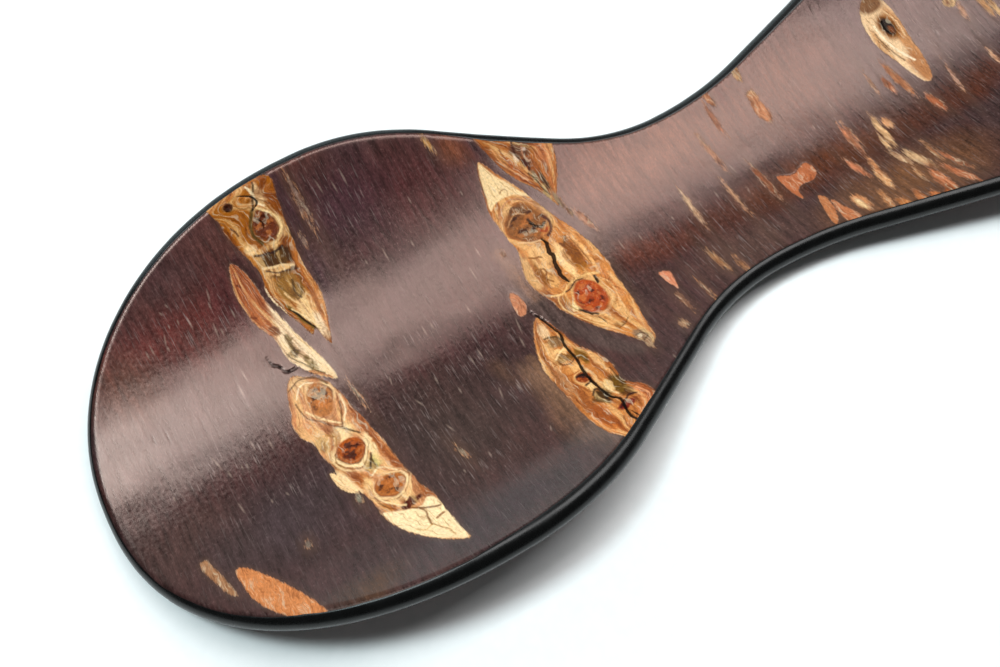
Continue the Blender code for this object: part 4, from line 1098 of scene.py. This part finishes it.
def make_face(outline, material, inner_material):
    """The bark face: coarse where it is plain, fine round flecks and cracks, finest in the strips."""
    rim = ring_points(outline, face_inset(outline))
    coarse = grid_inside(rim, COARSE_SPACING, 0.85)
    turns = [ring_points(outline, face_inset(outline) + step) for step in RIM_STEPS]
    coarse = np.concatenate([coarse] + turns)
    fine = grid_inside(rim, FINE_SPACING, 0.14)
    inner = inner_layer_distance(fine)
    fine = fine[(np.maximum(inner, crack_distance(fine)[0]) > -0.3) | (pore_distance(fine) > -0.12)]
    finest = grid_inside(rim, STRIP_SPACING, 0.10)
    in_strip = np.maximum.reduce([inside_distance(finest, curve) for curve in STRIP_CURVES]) > -0.08
    finest = finest[in_strip]
    in_strip = np.maximum.reduce([inside_distance(fine, curve) for curve in STRIP_CURVES]) > -0.18
    fine = np.concatenate([fine[~in_strip], finest])
    keep = np.maximum(inner_layer_distance(coarse), crack_distance(coarse)[0]) < -0.4
    keep &= pore_distance(coarse) < -0.2
    shown = np.concatenate([fine, coarse[keep]])
    hidden = grid_inside(rim, HIDDEN_SPACING, 1.0)

    def rise(points):
        depth = depth_inside(points, outline)
        return rounded_rise(depth) + face_relief(points, depth - face_inset(points))

    top = EDGE_RADIUS - BARK_THICKNESS
    piece, flat = sheet_mesh("bark_face", rim, shown, hidden, rise, top, material, shown_up=True)
    mesh = piece.data
    flow, ring = grain_fields(flat)
    add_vectors(mesh, "board", np.column_stack([flat, np.zeros(len(flat))]))
    add_vectors(mesh, "inner_colour", inner_colours(flat, flow))
    add_vectors(mesh, "bark_colour", bark_colours(flat))
    inner = inner_layer_distance(flat)
    from_rim = depth_inside(flat, outline) - face_inset(flat)
    dull = np.maximum(inner, DULL_RIM - from_rim)
    add_numbers(mesh, "inner", inner)
    mesh.materials.append(inner_material)
    for polygon in mesh.polygons:
        polygon.material_index = int(dull[list(polygon.vertices)].mean() > 0)
    add_numbers(mesh, "pore", pore_distance(flat))
    add_numbers(mesh, "crack", crack_distance(flat)[0])
    add_numbers(mesh, "flow", flow)
    add_numbers(mesh, "ring", ring)
    add_numbers(mesh, "streaky", streakiness(flat))
    add_numbers(mesh, "rim", from_rim)
    print("face mesh:", len(mesh.vertices), "vertices", len(mesh.polygons), "faces")
    return piece


def make_back(outline, material):
    """The belly's bark sheet, plain dark bark."""
    rim = ring_points(outline, BACK_INSET)
    shown = grid_inside(rim, 0.6, 0.4)
    hidden = grid_inside(rim, HIDDEN_SPACING, 1.0)

    def rise(points):
        bumps = 0.02 * cloud(points, (6, 3), 91, 3) + 0.012 * cloud(points, (0.9, 5), 97, 2)
        fade = np.clip(nearest_gap(points, rim) / 0.8, 0, 1)
        return -EDGE_RADIUS + (0.03 + bumps) * fade

    under = -EDGE_RADIUS + BARK_THICKNESS
    piece, flat = sheet_mesh("bark_back", rim, shown, hidden, rise, under, material, shown_up=False)
    add_vectors(piece.data, "board", np.column_stack([flat, np.full(len(flat), 40.0)]))
    add_vectors(piece.data, "bark_colour", bark_colours(flat * (1, -1) + (7, 3)))
    return piece


def make_edge(outline, material):
    """Round lacquered band, with a thin feathered lap over the bark and a nick where a crack meets it."""
    count = len(outline)
    wander = cloud(outline, (2.2, 2.2), 61, 3)
    inset = face_inset(outline)
    lap = LAP + 0.06 * wander
    profile = []
    for share, film in ((1.0, 0.15), (0.6, 0.8), (0.3, 1.0)):
        depth = inset + lap * share
        profile.append((depth, rounded_rise(depth) + FILM * film))
    first_turn = np.arccos(1 - inset / EDGE_RADIUS)
    for i in range(EDGE_TURNS + 1):
        turn = first_turn - (first_turn + math.pi / 2) * i / EDGE_TURNS
        rise = EDGE_RADIUS * np.sin(turn) + FILM * np.maximum(0.0, np.sin(turn))
        profile.append((EDGE_RADIUS * (1 - np.cos(turn)), rise))
    under_bark = np.full(count, EDGE_RADIUS * 0.1)
    profile.append((np.full(count, EDGE_RADIUS), under_bark))
    profile.append((inset + 0.05, under_bark))
    profile.append((inset + 0.05, rounded_rise(inset + 0.05) - 0.02))
    nick = np.exp(-(np.hypot(*(outline - np.array(NICK_PLACE)).T) / 0.35) ** 2)
    rings = []
    flats = []
    for depth, rise in profile:
        waves = 0.012 * cloud(outline, (1.4, 1.4), 67, 2)
        flat = ring_points(outline, depth + (0.22 * nick + waves) * (depth < 0.3))
        rings.append(roll_up(flat, rise))
        flats.append(flat)
    verts = np.concatenate(rings)
    faces = []
    for i in range(len(rings)):
        low, high = i * count, (i + 1) % len(rings) * count
        faces += [(low + (j + 1) % count, low + j, high + j, high + (j + 1) % count) for j in range(count)]
    piece = new_object("lacquer_band", verts, faces, material)
    piece.data.set_sharp_from_angle(angle=math.radians(60))
    flat = np.concatenate(flats)
    add_vectors(piece.data, "board", np.column_stack([flat, verts[:, 2] / MM]))
    add_numbers(piece.data, "chip", np.maximum.reduce([1 - oval(flat, *chip) for chip in CHIPS]))
    return piece


# ---------------------------------------------------------------- materials


class Shader:
    """A material's nodes, made one call at a time. A value is a number, a colour, a vector or a socket."""

    def __init__(self, name):
        self.material = bpy.data.materials.new(name)
        self.material.use_nodes = True
        self.nodes = self.material.node_tree.nodes
        self.links = self.material.node_tree.links
        self.surface = self.nodes["Principled BSDF"]

    def node(self, kind, values, **settings):
        node = self.nodes.new("ShaderNode" + kind)
        for name, value in settings.items():
            setattr(node, name, value)
        for socket, value in values.items():
            self.put(node.inputs[socket], value)
        return node

    def put(self, socket, value):
        if isinstance(value, bpy.types.NodeSocket):
            self.links.new(value, socket)
        else:
            socket.default_value = value

    def set(self, socket, value):
        self.put(self.surface.inputs[socket], value)

    def number(self, name):
        return self.node("Attribute", {}, attribute_name=name).outputs["Fac"]

    def vector(self, name):
        return self.node("Attribute", {}, attribute_name=name).outputs["Vector"]

    def math(self, operation, a, b=0.0):
        return self.node("Math", {0: a, 1: b}, operation=operation).outputs[0]

    def stretch(self, vector, factors):
        return self.node("VectorMath", {0: vector, 1: factors}, operation="MULTIPLY").outputs[0]

    def noise(self, vector, factors, detail=3.0, roughness=0.5):
        values = {"Vector": self.stretch(vector, factors), "Scale": 1.0}
        values |= {"Detail": detail, "Roughness": roughness}
        return self.node("TexNoise", values).outputs[0]

    def remap(self, value, low, high, to_low=0.0, to_high=1.0):
        values = {"Value": value, "From Min": low, "From Max": high, "To Min": to_low, "To Max": to_high}
        return self.node("MapRange", values).outputs[0]

    def mix(self, share, a, b, blend_type="MIX"):
        node = self.node("Mix", {}, data_type="RGBA", blend_type=blend_type)
        for socket, value in ((node.inputs["Factor"], share), (node.inputs[6], a), (node.inputs[7], b)):
            if isinstance(value, tuple) and len(value) == 3:
                value = (*value, 1.0)
            self.put(socket, value)
        return node.outputs[2]

    def scale_colour(self, colour, factor):
        return self.node("VectorMath", {0: colour, "Scale": factor}, operation="SCALE").outputs[0]

    def bump(self, height, distance, strength):
        return self.node("Bump", {"Height": height, "Distance": distance, "Strength": strength}).outputs[0]

    def combine(self, x, y, z):
        return self.node("CombineXYZ", {0: x, 1: y, 2: z}).outputs[0]


def bark_layers(s, board, base):
    """Outer bark: fine grain across the board and short pale pores; returns colour, roughness and height."""
    streaks = s.noise(board, (1.9, 0.30, 1.0), 5.0, 0.62)
    fine = s.noise(board, (13.0, 2.2, 1.0), 3.0, 0.6)
    mottle = s.noise(board, (3.2, 3.0, 1.0), 4.0, 0.65)
    shade = s.math("MULTIPLY", s.remap(streaks, 0.3, 0.7, 0.45, 1.65), s.remap(fine, 0.3, 0.7, 0.66, 1.36))
    shade = s.math("MULTIPLY", shade, s.remap(mottle, 0.3, 0.7, 0.80, 1.22))
    colour = s.scale_colour(base, shade)
    cells = s.node("TexVoronoi", {"Vector": s.stretch(board, (2.3, 0.32, 1.0)), "Scale": 1.0})
    chance = s.node("SeparateXYZ", {0: cells.outputs["Color"]})
    streaky = s.number("streaky")
    patch = s.remap(s.noise(board, (0.16, 0.20, 1.0), 2.0), 0.54, 0.64, 0.0, 0.45)
    patch = s.math("MAXIMUM", patch, streaky)
    pores = s.remap(cells.outputs["Distance"], 0.19, 0.08)
    rare = s.math("SUBTRACT", 0.72, s.math("MULTIPLY", streaky, 0.42))
    pores = s.math("MULTIPLY", pores, s.remap(s.math("SUBTRACT", chance.outputs[0], rare), 0.0, 0.1))
    pores = s.math("MULTIPLY", pores, s.remap(chance.outputs[1], 0.0, 1.0, 0.35, 1.0))
    pores = s.math("MULTIPLY", pores, patch)
    colour = s.mix(s.math("MULTIPLY", pores, 0.50), colour, linear("b8a098"))
    hair = s.noise(board, (6.5, 0.42, 1.0), 3.0, 0.6)
    hairiness = s.math("ADD", 0.16, s.math("MULTIPLY", streaky, 0.45))
    hair = s.math("MULTIPLY", s.remap(hair, 0.58, 0.68), hairiness)
    colour = s.mix(hair, colour, linear("a08c88"))
    dark_cells = s.node("TexVoronoi", {"Vector": s.stretch(board, (1.7, 0.24, 1.3)), "Scale": 1.0})
    dark_chance = s.node("SeparateXYZ", {0: dark_cells.outputs["Color"]})
    scars = s.remap(dark_cells.outputs["Distance"], 0.22, 0.05)
    scars = s.math("MULTIPLY", scars, s.remap(dark_chance.outputs[1], 0.84, 0.92))
    colour = s.mix(s.math("MULTIPLY", scars, 0.55), colour, linear("241a1a"))
    height = s.math("ADD", s.math("MULTIPLY", streaks, 0.5), s.math("MULTIPLY", fine, 0.22))
    height = s.math("ADD", height, s.math("MULTIPLY", pores, 0.25))
    height = s.math("SUBTRACT", height, s.math("MULTIPLY", scars, 0.35))
    roughness = s.remap(mottle, 0.3, 0.7, 0.14, 0.30)
    roughness = s.math("ADD", roughness, s.math("MULTIPLY", pores, 0.15))
    return colour, roughness, height


def inner_layers(s, board):
    """Inner bark: fine grain that runs round the knots, over the broad colours; colour and height."""
    along = s.node("SeparateXYZ", {0: board}).outputs[1]
    wobble = s.noise(board, (1.2, 0.7, 1.0), 2.0, 0.5)
    flow = s.math("ADD", s.number("flow"), s.remap(wobble, 0.25, 0.75, -0.30, 0.30))
    lines_at = s.combine(flow, along, 0.0)
    lines = s.noise(lines_at, (4.6, 0.45, 1.0), 4.0, 0.62)
    fibres = s.noise(lines_at, (15.0, 1.6, 1.0), 3.0, 0.6)
    lumps = s.noise(board, (5.0, 4.0, 1.0), 4.0, 0.65)
    base = s.vector("inner_colour")
    colour = s.mix(s.math("MULTIPLY", s.remap(lines, 0.54, 0.64), 0.42), base, linear("fbe6c4"))
    dark = s.mix(1.0, colour, (0.50, 0.40, 0.32), "MULTIPLY")
    colour = s.mix(s.math("MULTIPLY", s.remap(lines, 0.46, 0.36), 0.72), colour, dark)
    colour = s.scale_colour(colour, s.remap(fibres, 0.3, 0.7, 0.78, 1.2))
    colour = s.scale_colour(colour, s.remap(lumps, 0.3, 0.7, 0.78, 1.2))
    ring = s.number("ring")
    core = s.remap(ring, 1.0, 0.8)
    height = s.math("ADD", s.math("MULTIPLY", lines, 0.9), s.math("MULTIPLY", fibres, 0.25))
    height = s.math("ADD", height, s.math("MULTIPLY", lumps, s.math("ADD", 0.3, core)))
    return colour, height


def face_material(name, inner):
    """The face sheet: glossy on the outer bark, duller where the inner bark shows, with the same colours."""
    s = Shader(name)
    board = s.vector("board")
    colour, roughness, height = bark_layers(s, board, s.vector("bark_colour"))
    pore = s.remap(s.number("pore"), -0.02, 0.05)
    colour = s.mix(s.math("MULTIPLY", pore, 0.42), colour, linear("c4a898"))
    inner_colour, inner_height = inner_layers(s, board)
    ragged = s.remap(s.noise(board, (6.0, 1.1, 1.0), 4.0, 0.65), 0.3, 0.7, -0.09, 0.09)
    edge = s.math("ADD", s.number("inner"), ragged)
    shown = s.remap(edge, -0.06, 0.06)
    border = s.math("MULTIPLY", s.remap(edge, -0.42, -0.04), 0.38)
    colour = s.mix(border, colour, linear("6e5448"))
    # painted shade: the bark is painted dark grey towards its rim, where it turns over the round edge; the
    # same band is also made rougher
    rim_shade_and_dulling = s.remap(s.number("rim"), 0.32, 0.0)
    colour = s.mix(s.math("MULTIPLY", rim_shade_and_dulling, 0.75), colour, linear("2c2829"))
    colour = s.mix(shown, colour, inner_colour)
    crack = s.remap(s.number("crack"), -0.035, 0.035)
    colour = s.mix(s.math("MULTIPLY", crack, 0.93), colour, linear("1f190c"))
    s.set("Base Color", colour)
    roughness = s.math("ADD", roughness, s.math("MULTIPLY", rim_shade_and_dulling, 0.22))
    roughness = s.math("ADD", roughness, s.math("MULTIPLY", shown, 0.20))
    roughness = s.math("ADD", roughness, s.math("MULTIPLY", crack, 0.3))
    s.set("Roughness", roughness)
    heights = [s.combine(value, value, value) for value in (height, inner_height)]
    s.set("Normal", s.bump(s.mix(shown, *heights), GRAIN_RELIEF, 0.8))
    s.surface.inputs["Specular Tint"].default_value = BARK_TINT
    s.surface.inputs["Specular IOR Level"].default_value = INNER_GLOSS if inner else BARK_GLOSS
    return s.material


def back_material():
    s = Shader("bark_back")
    board = s.vector("board")
    colour, roughness, height = bark_layers(s, board, s.vector("bark_colour"))
    s.set("Base Color", colour)
    s.set("Roughness", s.math("ADD", roughness, 0.10))
    s.set("Normal", s.bump(height, GRAIN_RELIEF, 0.8))
    return s.material


def lacquer_material():
    s = Shader("black_lacquer")
    board = s.vector("board")
    wear = s.noise(board, (0.8, 0.8, 0.8), 4.0, 0.6)
    fine = s.noise(board, (7.0, 7.0, 7.0), 3.0, 0.6)
    colour = s.mix(s.remap(wear, 0.45, 0.7), linear("0c0c0e"), linear("1d1918"))
    chip = s.remap(s.number("chip"), 0.0, 0.25)
    colour = s.mix(chip, colour, linear("cdb088"))
    s.set("Base Color", colour)
    roughness = s.math("ADD", s.remap(wear, 0.3, 0.7, 0.20, 0.30), s.remap(fine, 0.3, 0.7, 0.0, 0.05))
    s.set("Roughness", s.math("ADD", roughness, s.math("MULTIPLY", chip, 0.3)))
    s.set("Normal", s.bump(fine, LACQUER_RELIEF, 0.3))
    s.surface.inputs["IOR"].default_value = 1.36
    return s.material


def ply_material(name, along_board):
    """Pale thin wood, its grain along or across the board."""
    s = Shader(name)
    place = s.node("TexCoord", {}).outputs["Object"]
    factors = (90.0, 1400.0, 900.0) if along_board else (1400.0, 90.0, 900.0)
    grain = s.noise(place, factors, 4.0, 0.6)
    s.set("Base Color", s.mix(s.remap(grain, 0.3, 0.7), linear("b08a5c"), linear("d9bd8e")))
    s.set("Roughness", s.remap(grain, 0.3, 0.7, 0.6, 0.8))
    s.set("Normal", s.bump(grain, 0.00004, 0.5))
    return s.material


def floor_material():
    s = Shader("floor")
    place = s.node("TexCoord", {}).outputs["Object"]
    paper = s.noise(place, (900.0, 900.0, 900.0), 3.0)
    s.set("Base Color", s.mix(s.remap(paper, 0.3, 0.7), (0.86, 0.875, 0.875), (0.89, 0.90, 0.90)))
    s.surface.inputs["Roughness"].default_value = 0.9
    s.surface.inputs["Specular IOR Level"].default_value = 0.2
    return s.material


# ---------------------------------------------------------------- stage

CAMERA_TARGET = Vector((-0.01595, -0.00230, 0.0020))
CAMERA_DISTANCE = 0.08182
CAMERA_YAW = math.radians(31.09)
CAMERA_RISE = math.radians(64.2)
CAMERA_LENS = 34.26
SENSOR_WIDTH = 36.0

WHITE = (1.0, 1.0, 1.0)
# Soft lights: name, place, what it faces, width and height, radiance, colour
LIGHTS = (
    ("key", (-0.03, 0.105, 0.45), (-0.03, 0.105, 0.0), (0.34, 0.15), 6.5, WHITE),
    ("key_right", (0.33, 0.060, 0.45), (0.33, 0.060, 0.0), (0.38, 0.24), 6.0, WHITE),
    ("key_left", (-0.17, 0.13, 0.45), (-0.17, 0.13, 0.0), (0.15, 0.10), 26.0, (0.80, 1.0, 1.04)),
    ("far_panel", (0.05, 0.70, 0.55), (0.0, 0.0, 0.06), (1.2, 0.42), 0.5, WHITE),
    ("low_wall", (0.0, 0.70, 0.205), (0.0, 0.0, 0.0), (0.9, 0.20), 1.7, (0.78, 1.0, 1.06)),
)
WORLD_COLOUR = (0.93, 1.0, 1.0, 1.0)
WORLD_STRENGTH = 0.08
FLOOR_RADIUS = 4.0


def make_camera():
    camera = bpy.data.objects.new("camera", bpy.data.cameras.new("camera"))
    bpy.context.scene.collection.objects.link(camera)
    flat = math.cos(CAMERA_RISE)
    towards = Vector((-flat * math.sin(CAMERA_YAW), -flat * math.cos(CAMERA_YAW), math.sin(CAMERA_RISE)))
    camera.location = CAMERA_TARGET + CAMERA_DISTANCE * towards
    camera.rotation_euler = towards.to_track_quat("Z", "Y").to_euler()
    camera.data.lens = CAMERA_LENS
    camera.data.sensor_width = SENSOR_WIDTH
    camera.data.clip_start = 0.005
    camera.data.clip_end = 20.0
    bpy.context.scene.camera = camera


def make_light(name, place, target, size, radiance, colour):
    """Rectangular soft light facing target; size is (width, height) in metres."""
    data = bpy.data.lights.new(name, "AREA")
    data.shape = "RECTANGLE"
    data.size, data.size_y = size
    data.energy = radiance * math.pi * size[0] * size[1]
    data.color = colour
    lamp = bpy.data.objects.new(name, data)
    lamp.location = place
    direction = Vector(place) - Vector(target)
    lamp.rotation_euler = direction.to_track_quat("Z", "Y").to_euler()
    bpy.context.scene.collection.objects.link(lamp)


def make_stage():
    bpy.ops.mesh.primitive_circle_add(vertices=96, radius=FLOOR_RADIUS, fill_type="NGON", location=(0, 0, 0))
    floor = bpy.context.object
    floor.name = "floor"
    floor.data.materials.append(floor_material())
    for light in LIGHTS:
        make_light(*light)
    world = bpy.data.worlds.new("studio")
    bpy.context.scene.world = world
    world.use_nodes = True
    background = world.node_tree.nodes["Background"]
    background.inputs["Color"].default_value = WORLD_COLOUR
    background.inputs["Strength"].default_value = WORLD_STRENGTH
    bpy.context.scene.view_settings.view_transform = "Standard"


# ---------------------------------------------------------------- the scoop


def make_scoop():
    outline = developed_outline()
    outer = face_material("bark_face", inner=False)
    face = make_face(outline, outer, face_material("inner_bark", inner=True))
    back = make_back(outline, back_material())
    edge = make_edge(outline, lacquer_material())
    for piece, node, slot in (
        (face, "face_bark", "face_bark"),
        (back, "back_bark", "back_bark"),
        (edge, "lacquer_edge", "lacquer"),
    ):
        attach(piece, "root")
        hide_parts(node)
    for i, name in enumerate(("core_ply_upper", "core_ply_middle", "core_ply_lower")):
        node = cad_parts[name]
        node.data.materials.clear()
        node.data.materials.append(ply_material(name, along_board=i != 1))


make_camera()
make_stage()
make_scoop()
